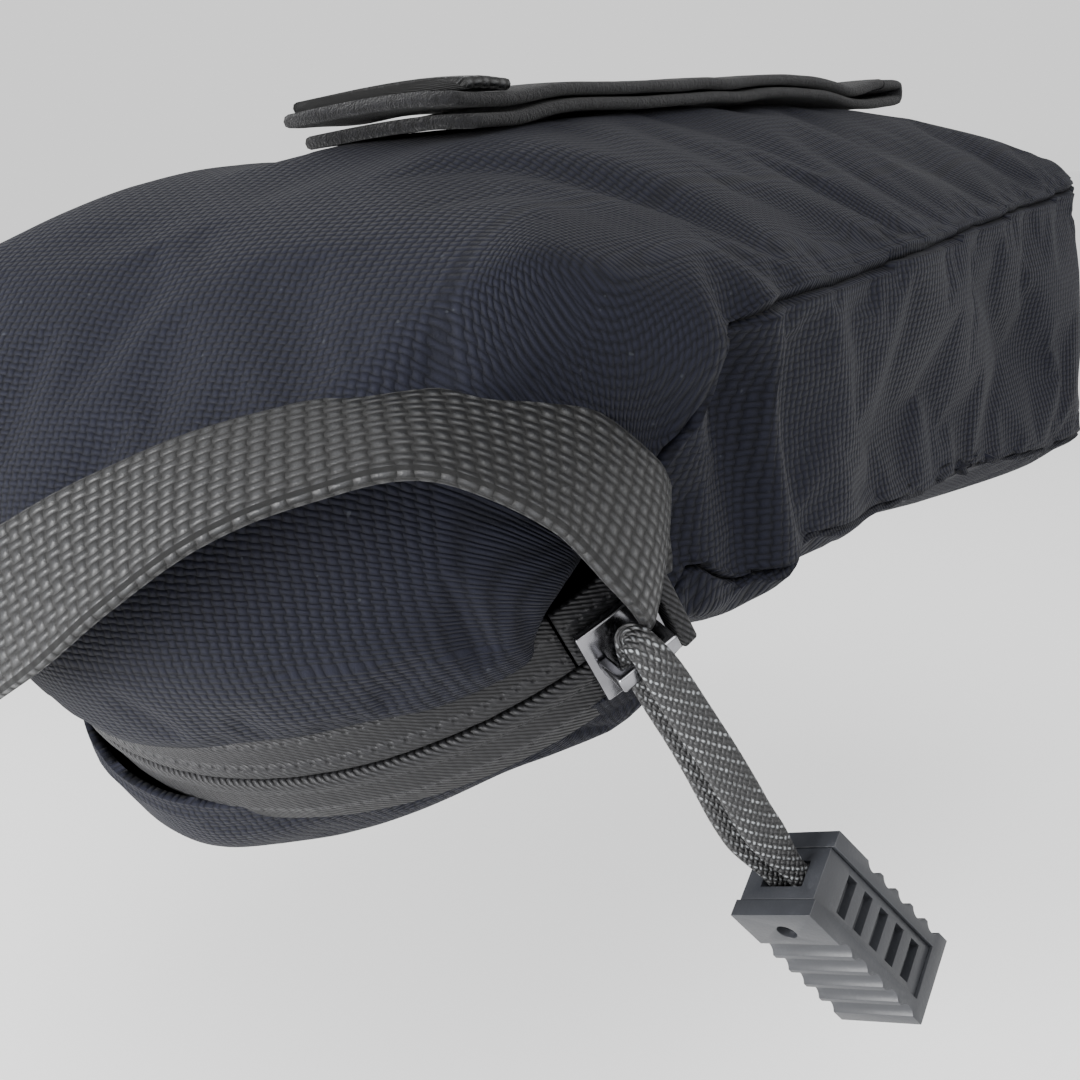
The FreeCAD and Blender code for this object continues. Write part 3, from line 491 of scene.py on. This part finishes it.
def sweep(name, path, acrosses, section, material, edge_wobble=0.0):
    """Closed strap: a section carried along a path. acrosses holds the width direction at each place."""
    vertices = []
    uvs = []
    along = 0.0
    girth = [0.0]
    for a, b in zip(section, section[1:]):
        girth.append(girth[-1] + math.dist(a, b))
    middle = girth[len(section) // 4]
    for index, centre in enumerate(path):
        before = path[max(index - 1, 0)]
        after = path[min(index + 1, len(path) - 1)]
        tangent = (after - before).normalized()
        across = acrosses[index]
        across = (across - tangent * across.dot(tangent)).normalized()
        out = across.cross(tangent)
        if index:
            along += (centre - path[index - 1]).length
        for (x, z), u in zip(section, girth):
            wave = noise.noise(Vector((along * 90.0, x * 60.0, 3.0))) * edge_wobble
            vertices.append(centre + across * x + out * (z + wave))
            uvs.append((u - middle, along))
    return add_tube(name, vertices, len(section), material, uvs)


# ---------------------------------------------------------------- bag body

CLOTH_STEP = 2.0 * MM
SHELL_GAUGE = 1.1 * MM
SEAM_REACH = 2.5 * MM        # grid corners this near a seam are moved onto it
SEAM_DEPTH = 0.9 * MM
HELD_AT_ZIP = 7.0 * MM       # the cloth is held this far above and below the zip
BODY_NODES = ("top_panel", "hood_fold", "rear_hood", "gusset_right", "gusset_left", "nose_panel",
              "bottom_panel", "zip_tape_upper", "zip_tape_lower")
CROWN_NODES = ("top_panel", "hood_fold", "rear_hood")
SIDE_NODES = ("gusset_right", "gusset_left", "nose_panel")
UNDER_NODES = ("bottom_panel",)


def surface_of(names):
    """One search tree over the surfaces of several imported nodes."""
    vertices = []
    faces = []
    for name in names:
        mesh = NODES[name].data
        start = len(vertices)
        vertices += [vertex.co.copy() for vertex in mesh.vertices]
        faces += [[start + index for index in face.vertices] for face in mesh.polygons]
    return BVHTree.FromPolygons(vertices, faces)


def outermost(tree, start, heading, reach):
    """First hit of a small bundle of rays, so that none slips through a seam's gap."""
    side = heading.orthogonal().normalized() * 0.7 * MM
    other = heading.cross(side)
    best = None
    for shift in (Vector(), side, -side, other, -other):
        hit = tree.ray_cast(start + shift, heading, reach)
        if hit[0] is not None and (best is None or hit[3] < best):
            best = hit[3]
    return start + heading * best if best is not None else None


def body_envelope():
    """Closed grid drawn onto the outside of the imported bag, from a box of even cells around it."""
    low, high = Vector(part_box("bottom_panel")[0]), Vector(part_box("top_panel")[1])
    low.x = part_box("gusset_left")[0].x
    high.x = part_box("gusset_right")[1].x
    low.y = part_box("rear_hood")[0].y
    high.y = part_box("nose_panel")[1].y
    size = high - low
    counts = [max(4, round(part / CLOTH_STEP)) for part in size]
    work = bmesh.new()
    found = {}

    def corner(i, j, k):
        key = (i, j, k)
        if key not in found:
            share = Vector((i / counts[0], j / counts[1], k / counts[2]))
            found[key] = work.verts.new(low + Vector(a * b for a, b in zip(share, size)))
        return found[key]

    for axis in range(3):
        one, two = [other for other in range(3) if other != axis]
        for end in (0, counts[axis]):
            for a in range(counts[one]):
                for b in range(counts[two]):
                    corners = []
                    for da, db in ((0, 0), (1, 0), (1, 1), (0, 1)):
                        index = [0, 0, 0]
                        index[axis] = end
                        index[one] = a + da
                        index[two] = b + db
                        corners.append(corner(*index))
                    work.faces.new(corners)
    bmesh.ops.recalc_face_normals(work, faces=work.faces)
    tree = surface_of(BODY_NODES)
    core_rear = bag(0, 12, 4)
    core_front = bag(0, 128, 6)
    for vertex in work.verts:
        core = Vector((0.0, min(max(vertex.co.y, core_rear.y), core_front.y), core_rear.z))
        heading = (core - vertex.co).normalized()
        start = vertex.co - heading * 0.05
        place = outermost(tree, start, heading, 0.2)
        if place is not None:
            vertex.co = place
    return work


def smooth_corners(work, corners, rounds, share):
    for _ in range(rounds):
        bmesh.ops.smooth_vert(work, verts=corners, factor=share,
                              use_axis_x=True, use_axis_y=True, use_axis_z=True)


def zip_frame():
    """Middle of the zip's arc, its rearward direction in the zip's plane, and the plane's normal."""
    slide = JOINTS["slider_travel"]
    normal = Vector(slide["axis"]).normalized()
    if normal.z < 0:
        normal = -normal
    rearward = Vector((1, 0, 0)).cross(normal)
    return Vector(slide["pos_m"]), rearward, normal


ZIP_CENTRE, ZIP_REAR, ZIP_UP = zip_frame()
ZIP_BARE = 5.4 * MM          # half the height of the bare zip band
ZIP_RADIUS = 46.6 * MM
ZIP_END_TURN = math.radians(65.0)


def zip_angle(place):
    """Angle round the zip's arc from its rearmost point, positive to the right."""
    offset = place - ZIP_CENTRE
    return math.atan2(offset.x, offset.dot(ZIP_REAR))


def near_seam(tree_a, tree_b, place):
    """Below 0 where the place is nearer to the second surface, and 0 on the seam between them."""
    return tree_b.find_nearest(place)[3] - tree_a.find_nearest(place)[3]


def snap_seam(work, tree_a, tree_b, layer, limit):
    """Moves grid corners onto the line where two packed panels meet, and cuts cells along it."""
    gap = {vertex: near_seam(tree_a, tree_b, vertex.co) for vertex in work.verts}
    moves = {}
    for edge in work.edges:
        a, b = edge.verts
        if gap[a] * gap[b] < 0:
            share = gap[a] / (gap[a] - gap[b])
            mover = a if share < 0.5 else b
            place = a.co.lerp(b.co, share)
            length = (place - mover.co).length
            if mover not in moves or length < moves[mover][0]:
                moves[mover] = (length, place)
    for vertex, (_, place) in moves.items():
        if tree_a.find_nearest(place)[3] < limit:
            vertex.co = place
            vertex[layer] = 1.0
            gap[vertex] = 0.0
    for face in list(work.faces):
        corners = list(face.verts)
        for one, two in ((0, 2), (1, 3)):
            if len(corners) == 4 and gap[corners[one]] == gap[corners[two]] == 0.0:
                bmesh.utils.face_split(face, corners[one], corners[two])
                break


def side_of(tree_crown, tree_side, tree_under, place):
    """Which panel a place belongs to: 0 crown, 1 side walls, 2 underside."""
    gaps = [tree.find_nearest(place)[3] for tree in (tree_crown, tree_side, tree_under)]
    return gaps.index(min(gaps))


def in_bag(place):
    """Millimetres from the middle of the line through the zip ends."""
    return (place - ZIP_LINE) / MM


def shape_body(place):
    """Settles the stuffed, sagging shape: millimetres from the zip line in and out."""
    x, y, z = in_bag(place)
    # the belly hangs lowest at the left rear and draws up towards the right side
    if z < -6:
        rear_draw = (0.02 + 0.78 * smooth(x, -10, 42)) * (1 - smooth(y, -20, 20))
        z = -6 + (z + 6) * (1.0 - rear_draw)
        x -= 2.5 * (1 - smooth(y, -25, 5)) * smooth(-z, 6, 20)
    # the right wall's lower edge is drawn up, least at the nose
    drawn = smooth(x, 2, 44) * smooth(y, 1, 9) * (0.33 - 0.29 * smooth(y, 20, 150))
    z = 25 - (25 - z) * (1 - drawn) if z < 25 else z
    # ahead of the zip the empty underside is drawn up flat
    if z < -2:
        flat = smooth(y, -8, 16) * (0.70 - 0.27 * smooth(y, 60, 150))
        z = -2 + (z + 2) * (1 - flat)
    # the right rear seam stands out at its top corner and sinks in beside the zip end
    rear_corner = math.exp(-((y - 2) / 13) ** 2) * smooth(x, 26, 46)
    x += rear_corner * (2.5 * smooth(z, 18, 28) - 5.5 * math.exp(-((z - 8) / 10) ** 2))
    y -= rear_corner * 2.5 * math.exp(-((z - 8) / 10) ** 2)
    z -= rear_corner * 1.5 * smooth(z, 18, 28)
    # side walls sink in between their seams
    wall = smooth(abs(x), 34, 46) * smooth(y, 18, 50) * (1 - smooth(y, 120, 160))
    middle = math.exp(-((z - 6) / 20) ** 2)
    x -= math.copysign(4.0 * wall * middle, x)
    # the crown stands full behind the strap, most of all at the left
    crown = math.exp(-((y - 6) / 26) ** 2) * smooth(z, 12, 40)
    z += crown * (-0.5 + 3.0 * smooth(-x, -10, 40))
    return bag(x, y, z)


def crease(place, start, end, depth, width):
    """How far a crease between two points sinks a place: a soft valley with raised banks."""
    along = end - start
    share = min(max((place - start).dot(along) / along.length_squared, 0.0), 1.0)
    off = (place - (start + along * share)).length / width
    fade = math.sin(math.pi * min(max(0.08 + 0.84 * share, 0.0), 1.0)) ** 0.5
    return depth * fade * (math.exp(-off * off) - 0.35 * math.exp(-(off - 1.7) ** 2))


CREASES = [
    # start, end, depth, width: all millimetres from the zip line
    ((49, 8, 27), (47, 14, -2), 5.0, 4.0),
    ((48, 22, 24), (46, 30, -4), 2.0, 7.0),
    ((47, 60, 12), (45, 110, -6), 1.8, 9.0),
    ((45, 95, 20), (44, 140, 2), 1.6, 7.0),
    ((18, 10, 44), (40, 26, 36), 1.0, 5.0),
    ((0, 2, 45), (34, 6, 40), 0.7, 6.0),
    ((-30, 20, 44), (10, 34, 47), 0.6, 7.0),
]


def wrinkle(vertex_place, normal):
    """A place on the shell, sunk by the drawn creases and by soft unevenness."""
    place = in_bag(vertex_place)
    sink = 0.0
    for start, end, depth, width in CREASES:
        sink += crease(place, Vector(start), Vector(end), depth, width)
    uneven = noise.noise(place / 26.0) + noise.noise(place / 11.0 + Vector((7, 1, 3))) * 0.35
    return vertex_place - normal * (sink + uneven * 0.9) * MM


CLOTH_PRESSURE = 4.0
CLOTH_FRAMES = 20
CLOTH_CAP = 3.0 * MM         # furthest that the simulation may move a place


def cloth_settle(item, pins):
    """Blows the shell up a little between its seams, as stuffed fabric does."""
    item.vertex_groups.new(name="held").add(pins, 1.0, "REPLACE")
    before = [vertex.co.copy() for vertex in item.data.vertices]
    modifier = item.modifiers.new("cloth", "CLOTH")
    cloth = modifier.settings
    cloth.quality = 4
    cloth.mass = 0.25
    cloth.tension_stiffness = 12
    cloth.compression_stiffness = 12
    cloth.shear_stiffness = 4
    cloth.bending_stiffness = 2.0
    cloth.shrink_min = -0.01
    cloth.use_pressure = True
    cloth.uniform_pressure_force = CLOTH_PRESSURE
    cloth.vertex_group_mass = "held"
    cloth.effector_weights.gravity = 0
    modifier.collision_settings.use_collision = False
    modifier.point_cache.frame_end = CLOTH_FRAMES
    scene = bpy.context.scene
    for number in range(1, CLOTH_FRAMES + 1):
        scene.frame_set(number)
    settled = item.evaluated_get(bpy.context.evaluated_depsgraph_get()).to_mesh()
    places = [vertex.co.copy() for vertex in settled.vertices]
    item.modifiers.remove(modifier)
    scene.frame_set(1)
    for vertex, start, place in zip(item.data.vertices, before, places):
        move = place - start
        if move.length > CLOTH_CAP:
            move *= CLOTH_CAP / move.length
        vertex.co = start + move
    item.vertex_groups.clear()


def build_body():
    """The bag's shell: crown with the hood, side walls and underside as one settled surface."""
    crown, side, under = (surface_of(names) for names in (CROWN_NODES, SIDE_NODES, UNDER_NODES))
    work = body_envelope()
    seam = work.verts.layers.float.new("seam")
    snap_seam(work, crown, side, seam, SEAM_REACH)
    snap_seam(work, side, under, seam, SEAM_REACH)
    panel = work.faces.layers.int.new("panel")
    for face in work.faces:
        face[panel] = side_of(crown, side, under, face.calc_center_median())
    loose = [vertex for vertex in work.verts if vertex[seam] == 0.0]
    smooth_corners(work, loose, 6, 0.5)
    smooth_corners(work, work.verts, 2, 0.35)
    for vertex in work.verts:
        vertex.co = shape_body(vertex.co)
    work.normal_update()
    moved = {vertex: wrinkle(vertex.co, vertex.normal) for vertex in work.verts}
    for vertex, place in moved.items():
        vertex.co = place
    mesh = bpy.data.meshes.new("body_shell")
    work.to_mesh(mesh)
    work.free()
    item = add_object("body_shell", mesh)
    pins = []
    values = mesh.attributes["seam"].data
    for vertex in mesh.vertices:
        at_zip = abs((vertex.co - ZIP_CENTRE).dot(ZIP_UP)) < HELD_AT_ZIP and vertex.co.y < ZIP_LINE.y
        if values[vertex.index].value > 0.5 or at_zip:
            pins.append(vertex.index)
    cloth_settle(item, pins)
    return item


def groove_seams(work, layer, depth):
    """Sinks the seam lines and lifts the fabric beside them a little, as stitching does."""
    work.normal_update()
    line = {vertex for vertex in work.verts if vertex[layer] > 0.9}
    beside = {edge.other_vert(vertex) for vertex in line for edge in vertex.link_edges} - line
    shifts = {vertex: -depth * vertex.normal for vertex in line}
    shifts.update({vertex: 0.25 * depth * vertex.normal for vertex in beside})
    for vertex, shift in shifts.items():
        vertex.co += shift


def cut_pieces(item):
    """Opens the zip band and splits the shell into the crown with its hood and the lower part."""
    work = bmesh.new()
    work.from_mesh(item.data)
    seam = work.verts.layers.float["seam"]
    panel = work.faces.layers.int["panel"]
    edges = list(work.edges)
    bmesh.ops.subdivide_edges(work, edges=edges, cuts=1, use_grid_fill=True, smooth=0.6)
    groove_seams(work, seam, SEAM_DEPTH)
    for height in (-ZIP_BARE, ZIP_BARE):
        parts = work.verts[:] + work.edges[:] + work.faces[:]
        bmesh.ops.bisect_plane(work, geom=parts, dist=1e-6,
                               plane_co=ZIP_CENTRE + ZIP_UP * height, plane_no=ZIP_UP)
    band = []
    for face in work.faces:
        centre = face.calc_center_median()
        height = (centre - ZIP_CENTRE).dot(ZIP_UP)
        at_rear = centre.y < ZIP_LINE.y + 6 * MM
        if abs(height) < ZIP_BARE and abs(zip_angle(centre)) < ZIP_END_TURN and at_rear:
            band.append(face)
    bmesh.ops.delete(work, geom=band, context="FACES")
    pieces = {}
    for name, keep in (("crown_and_hood", (0,)), ("side_walls", (1,)), ("underside", (2,))):
        part = work.copy()
        layer = part.faces.layers.int["panel"]
        drop = [face for face in part.faces if face[layer] not in keep]
        bmesh.ops.delete(part, geom=drop, context="FACES")
        mesh = bpy.data.meshes.new(name)
        part.to_mesh(mesh)
        part.free()
        mesh.materials.append(FABRIC)
        for face in mesh.polygons:
            face.use_smooth = True
        pieces[name] = add_object(name, mesh)
    work.free()
    bpy.data.objects.remove(item)
    return pieces


ROLL_RADIUS = 40.0           # the crown and the underside turn round the rear at about this radius


def rolled(y, z):
    """Length along the bag's middle, in millimetres, going round the rear end."""
    if y >= 0:
        return y
    return -ROLL_RADIUS * math.atan2(-y, abs(z))


def flat_place(place, normal, panel):
    """Where a place lies on its panel's cloth, in metres, across and along its threads."""
    x, y, z = in_bag(place)
    if panel == "side_walls":
        run = x if abs(normal.y) > abs(normal.x) and y > 100 else y
        return run * MM, z * MM
    turned = math.copysign(smooth(abs(x), 32, 46) * abs(z), x)
    return (x + turned if z < 0 else x - turned) * MM, rolled(y, z) * MM


def lay_threads(item):
    """Real-size cloth coordinates for each corner of each face."""
    mesh = item.data
    layer = mesh.uv_layers.new(name="weave")
    for face in mesh.polygons:
        for index in face.loop_indices:
            place = mesh.vertices[mesh.loops[index].vertex_index].co
            layer.data[index].uv = flat_place(place, face.normal, item.name)


def thicken(item, gauge):
    """Gives the cloth its thickness, inwards."""
    modifier = item.modifiers.new("thickness", "SOLIDIFY")
    modifier.thickness = gauge
    modifier.offset = -1.0
    bpy.context.view_layer.objects.active = item
    bpy.ops.object.modifier_apply(modifier="thickness")


shell = build_body()
PIECES = cut_pieces(shell)
for piece in PIECES.values():
    lay_threads(piece)
    thicken(piece, SHELL_GAUGE)
place_piece(PIECES["side_walls"], "bag", "shell_fabric", *SIDE_NODES, "binding_right", "binding_left")
place_piece(PIECES["underside"], "bag", "shell_fabric", *UNDER_NODES)
HINGE_REACH = 47.0
FOLD_FROM = math.radians(64.0)
FOLD_TO = math.radians(32.0)
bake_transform(PIECES["crown_and_hood"], "bag", "hood",
         start=bag(0, -HINGE_REACH * math.cos(FOLD_FROM), HINGE_REACH * math.sin(FOLD_FROM)),
         end=bag(0, -HINGE_REACH * math.cos(FOLD_TO), HINGE_REACH * math.sin(FOLD_TO)))
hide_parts(*CROWN_NODES)


# ---------------------------------------------------------------- zip

def arc_place(turn, radius, height):
    """A place on the zip's arc: turn in radians from its rearmost point, height square to its plane."""
    return (ZIP_CENTRE + Vector((math.sin(turn), 0, 0)) * radius + ZIP_REAR * math.cos(turn) * radius
            + ZIP_UP * height)


TAPE_PROFILE = [
    # millimetres: from the zip's middle line, and outwards
    (0.35, -0.9), (0.35, 0.05), (0.6, 0.5), (1.2, 0.72), (1.9, 0.62), (2.6, 0.3), (3.6, 0.25),
    (4.8, 0.3), (6.0, 0.1), (7.3, -0.2), (7.3, -0.8), (5.0, -0.75), (2.6, -0.7), (1.2, -0.9),
]
TAPE_INSET = 0.25            # millimetres inside the zip's radius
TAPE_RIPPLE = 0.10


def tape_strip(name, side, body, node, first, last):
    """Twill tape that swells over its coil, on the upper or the lower side, between two angles."""
    steps = max(8, round(last - first))
    turns = [math.radians(first + (last - first) * step / steps) for step in range(steps + 1)]
    vertices = []
    uvs = []
    for turn in turns:
        for up, out in TAPE_PROFILE:
            ripple = TAPE_RIPPLE * noise.noise(Vector((turn * 30.0, up * 0.3, side * 5.0)))
            vertices.append(arc_place(turn, ZIP_RADIUS + (out + ripple - TAPE_INSET) * MM, side * up * MM))
            uvs.append((side * up * MM, turn * ZIP_RADIUS))
    place_piece(add_tube(name, vertices, len(TAPE_PROFILE), TAPE, uvs), body, "zip_tape", node)


MOUTH_END = 51.0             # degrees round the zip's arc
TAPE_END = 65.0
TAPE_CUT = 0.4               # between the moving tape and the sewn ends
tape_strip("tape_upper", 1, "hood", "zip_tape_upper", -MOUTH_END, MOUTH_END)
tape_strip("tape_lower", -1, "bag", "zip_tape_lower", -TAPE_END, TAPE_END)
tape_strip("tape_end_right", 1, "bag", "zip_end_right", MOUTH_END + TAPE_CUT, TAPE_END)
tape_strip("tape_end_left", 1, "bag", "zip_end_left", -TAPE_END, -MOUTH_END - TAPE_CUT)


# ---------------------------------------------------------------- light loop

LOOP_WIDTH = 15.0 * MM
LOOP_GAUGE = 1.5 * MM
LOOP_CROWN = 0.35 * MM
LOOP_STEPS = 140
LOOP_LINE = [
    # middle of the webbing, and which way its upper edge leans: millimetres
    ((39.0, 4.5, 4.0), (0.1, 0.30, 1.0)),
    ((43.4, -2.5, 6.2), (0.0, 0.40, 1.0)),
    ((44.6, -8.0, 10.2), (-0.1, 0.62, 0.8)),
    ((42.0, -15.0, 16.8), (-0.15, 0.90, 0.46)),
    ((35.5, -24.0, 21.6), (-0.25, 0.93, 0.32)),
    ((27.0, -30.7, 21.3), (-0.3, 0.88, 0.42)),
    ((18.0, -35.6, 18.8), (-0.35, 0.75, 0.56)),
    ((7.5, -38.8, 14.0), (-0.45, 0.50, 0.72)),
    ((-5.5, -39.4, 7.6), (-0.5, 0.25, 0.85)),
    ((-20.0, -36.8, 2.0), (-0.4, 0.0, 0.9)),
    ((-33.0, -29.5, 0.0), (-0.2, 0.05, 1.0)),
    ((-43.5, -16.5, 3.0), (0.0, 0.10, 1.0)),
    ((-48.0, 1.0, 7.0), (0.0, 0.10, 1.0)),
]


def loop_leans(path):
    """The webbing's width direction at each place, taken from the nearest stretch of its line."""
    centres = [bag(*place) for place, _ in LOOP_LINE]
    leans = [Vector(lean).normalized() for _, lean in LOOP_LINE]
    carried = []
    for place in path:
        options = []
        for a, b, first, second in zip(centres, centres[1:], leans, leans[1:]):
            along = b - a
            share = min(max((place - a).dot(along) / along.length_squared, 0.0), 1.0)
            options.append(((place - a.lerp(b, share)).length, first.lerp(second, share)))
        carried.append(min(options, key=lambda option: option[0])[1])
    reach = 6
    return [sum(carried[max(index - reach, 0):index + reach + 1], Vector()).normalized()
            for index in range(len(carried))]


def light_loop():
    """Webbing that stands off the hood at the right and droops to the left."""
    path = curve_through([bag(*place) for place, _ in LOOP_LINE], LOOP_STEPS)
    leans = loop_leans(path)
    section = strap_section(LOOP_WIDTH, LOOP_GAUGE, LOOP_CROWN)
    item = sweep("webbing_loop", path, leans, section, WEBBING, 0.25 * MM)
    place_piece(item, "loop", "webbing", "light_loop")


light_loop()


# ---------------------------------------------------------------- pull cord

CORD_ROUTE = [
    (49.3, -71.2, -80.2), (47.0, -75.6, -74.2), (44.9, -80.1, -63.1), (41.8, -82.0, -56.1),
    (41.7, -86.6, -49.3), (45.1, -88.3, -50.5), (46.2, -84.4, -56.9), (48.5, -80.8, -64.6),
    (50.0, -76.3, -73.4), (51.9, -71.8, -79.5),
]
CORD_WIDTH = 4.2 * MM
CORD_GAUGE = 1.7 * MM
CORD_FLAT = Vector((0.53, -0.82, 0.20))       # the way that the braid's flat side faces


def cord_line():
    """Places along one smooth spline through the cord's route."""
    curve = bpy.data.curves.new("cord_route", "CURVE")
    curve.dimensions = "3D"
    spline = curve.splines.new("NURBS")
    spline.points.add(len(CORD_ROUTE) - 1)
    for point, place in zip(spline.points, CORD_ROUTE):
        point.co = (*(part * MM for part in place), 1.0)
    spline.order_u = 3
    spline.use_endpoint_u = True
    spline.resolution_u = 24
    item = add_object("cord_route", curve)
    line = bpy.data.meshes.new_from_object(item)
    places = [vertex.co.copy() for vertex in line.vertices]
    bpy.data.objects.remove(item)
    bpy.data.meshes.remove(line)
    return places


def pull_cord():
    """Flat braid that narrows into the puller and where it bends under the slider's crown."""
    path = cord_line()
    vertices = []
    uvs = []
    round_steps = 20
    along = 0.0
    total = sum((b - a).length for a, b in zip(path, path[1:]))
    for index, centre in enumerate(path):
        tangent = (path[min(index + 1, len(path) - 1)] - path[max(index - 1, 0)]).normalized()
        across = tangent.cross(CORD_FLAT).normalized()
        out = across.cross(tangent)
        if index:
            along += (centre - path[index - 1]).length
        from_end = min(along, total - along)
        narrow = 0.62 + 0.38 * smooth(from_end, 0.002, 0.009)
        width = CORD_WIDTH * narrow * (1 - 0.25 * math.exp(-((along - total / 2) / 0.004) ** 2))
        for step in range(round_steps):
            turn = 2 * math.pi * step / round_steps
            bulge = 1.0 + 0.06 * noise.noise(Vector((along * 400, turn * 2, 1.0)))
            x = math.copysign(abs(math.cos(turn)) ** 0.75, math.cos(turn)) * width / 2
            z = math.sin(turn) * CORD_GAUGE / 2 * bulge
            vertices.append(centre + across * x + out * z)
            uvs.append((x if z > 0 else CORD_WIDTH - x, along))
    item = add_tube("braided_cord", vertices, round_steps, BRAID, uvs)
    place_piece(item, "pull", "cord", "pull_cord")


# ---------------------------------------------------------------- finished copies of the hard pieces

def box_threads(item):
    """Real-size cloth coordinates taken square to whichever way each face looks."""
    mesh = item.data
    layer = mesh.uv_layers.get("weave") or mesh.uv_layers.new(name="weave")
    for face in mesh.polygons:
        x, y, z = (abs(part) for part in face.normal)
        for index in face.loop_indices:
            place = mesh.vertices[mesh.loops[index].vertex_index].co
            if z >= x and z >= y:
                layer.data[index].uv = (place.x, place.y)
            elif x >= y:
                layer.data[index].uv = (place.z, place.y)
            else:
                layer.data[index].uv = (place.z, place.x)


def finished(node, body, material, slot, edge, reshape=None):
    """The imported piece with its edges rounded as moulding, casting or sewing leaves them."""
    mesh = NODES[node].data.copy()
    mesh.name = node + "_finish"
    mesh.materials.clear()
    mesh.materials.append(material)
    work = bmesh.new()
    work.from_mesh(mesh)
    bmesh.ops.remove_doubles(work, verts=work.verts, dist=1e-6)
    bmesh.ops.dissolve_limit(work, angle_limit=math.radians(1.0), verts=work.verts, edges=work.edges)
    if reshape:
        for vertex in work.verts:
            vertex.co = reshape(vertex.co)
    work.to_mesh(mesh)
    work.free()
    item = add_object(node + "_finish", mesh)
    if edge:
        modifier = item.modifiers.new("edges", "BEVEL")
        modifier.width = edge
        modifier.segments = 3
        modifier.limit_method = "ANGLE"
        modifier.angle_limit = math.radians(35)
        bpy.context.view_layer.objects.active = item
        bpy.ops.object.modifier_apply(modifier="edges")
    for face in item.data.polygons:
        face.use_smooth = True
    item.data.set_sharp_from_angle(angle=math.radians(32))
    box_threads(item)
    place_piece(item, body, slot, node)


def tucked_anchor(place):
    """The right loop anchor follows the seam, which sinks in there."""
    return place + Vector((-5.5, -1.5, -1.0)) * MM


def proud_label(place):
    """The label lies on the wall's creased cloth, so it stands a little further out."""
    return place + Vector((-2.2, 0.0, 0.0)) * MM


HARD_PIECES = [
    ("slider_body", "slider", METAL, "slider_metal", 0.22 * MM),
    ("slider_crown", "slider", METAL, "slider_metal", 0.3 * MM),
    ("puller_frame", "puller", PLASTIC, "puller_plastic", 0.35 * MM),
    ("puller_insert", "puller", PLASTIC, "puller_plastic", 0.2 * MM),
    ("puller_pin", "puller", METAL, "pin_metal", 0.15 * MM),
    ("zip_coil_upper", "hood", COIL, "zip_coil", 0.0),
    ("zip_coil_lower", "bag", COIL, "zip_coil", 0.0),
    ("zip_lip_right", "bag", TAPE, "zip_tape", 0.4 * MM),
    ("zip_lip_left", "bag", TAPE, "zip_tape", 0.4 * MM),
    ("loop_anchor_right", "bag", WEBBING, "webbing", 0.4 * MM, tucked_anchor),
    ("loop_anchor_left", "bag", WEBBING, "webbing", 0.4 * MM),
    ("side_label", "bag", LABEL, "label_weave", 0.2 * MM, proud_label),
    ("post_strap", "bag", WEBBING, "webbing", 0.5 * MM),
    ("post_patch", "bag", PILE, "hook_loop", 0.4 * MM),
]
for piece in HARD_PIECES:
    finished(*piece)
pull_cord()


# ---------------------------------------------------------------- rail strap

STRAP_WIDTH = 25.0 * MM
STRAP_GAUGE = 1.6 * MM
STRAP_REAR = 21.0            # millimetres ahead of the zip line
STRAP_FRONT = 155.0
STRAP_STEPS = 150
STRAP_CROWN = 0.5 * MM
HEM_STEPS = 20
HEM_GAUGE = 1.4 * MM


def crown_height(tree, y):
    """Height of the crown under the strap, in millimetres over the zip line."""
    tops = []
    for x in (-9, 0, 9):
        hit = tree.ray_cast(bag(x, y, 90), Vector((0, 0, -1)))
        if hit[0] is not None:
            tops.append(in_bag(hit[0]).z)
    return max(tops)


def rail_strap():
    """Two layers of hook-and-loop webbing: the lower sewn down, the upper folded back over it."""
    crown = BVHTree.FromObject(PIECES["crown_and_hood"], bpy.context.evaluated_depsgraph_get())
    base = []
    for step in range(15):
        y = STRAP_REAR + (STRAP_FRONT - STRAP_REAR) * step / 14
        lift = 0.9 + 1.6 * smooth(y, 132, 155)
        base.append(Vector((0, y, crown_height(crown, min(y, 142)) + lift)))
    end = base[-1]
    hinge = in_bag(Vector(JOINTS["strap_peel"]["pos_m"]))
    seat = Vector((0, hinge.y, end.z + 2.8))
    fold = [end + Vector((0, 1.6, 0.5)), end + Vector((0, 2.0, 1.6)), end + Vector((0, 1.2, 2.6)), seat]
    lower = curve_through([bag(*place) for place in base + fold], STRAP_STEPS)
    across = [Vector((1, 0, 0))] * STRAP_STEPS
    section = strap_section(STRAP_WIDTH, STRAP_GAUGE, STRAP_CROWN)
    under_layer = sweep("strap_under", lower, across, section, PILE, 0.3 * MM)
    rise = [Vector((0, -3.5, 0)) + base[0] + Vector((0, 0, 2.6))] + [
        place + Vector((0, 0, 1.95 + 0.5 * math.exp(-((place.y - STRAP_REAR) / 14) ** 2)))
        for place in base if place.y < hinge.y - 4]
    rise.append(seat)
    upper = curve_through([bag(*place) for place in rise], STRAP_STEPS)
    over_layer = sweep("strap_over", upper, across, section, PILE, 0.3 * MM)
    hem_line = [bag(*(rise[0] + Vector((0, ahead, up))))
                for ahead, up in ((2.0, 1.5), (6.0, 1.7), (11.0, 1.6))]
    hem_section = strap_section(STRAP_WIDTH, HEM_GAUGE, STRAP_CROWN)
    hem = sweep("strap_hem", curve_through(hem_line, HEM_STEPS), across[:HEM_STEPS], hem_section,
                WEBBING, 0.4 * MM)
    place_piece(under_layer, "bag", "hook_loop", "rail_strap_base", "rail_strap_fold")
    place_piece(over_layer, "hook_strap", "hook_loop", "rail_strap_hook")
    place_piece(hem, "hook_strap", "webbing", "rail_strap_hem")


rail_strap()


# ---------------------------------------------------------------- studio

add_camera()
add_world(WORLD_STRENGTH)
add_floor(FLOOR_LEVEL)
add_area_light("key", bag(-160, -420, 60), bag(0, 0, 0), 0.35, 7.0)
add_area_light("fill", bag(380, -200, 420), bag(0, 20, 0), 0.7, 5.0)
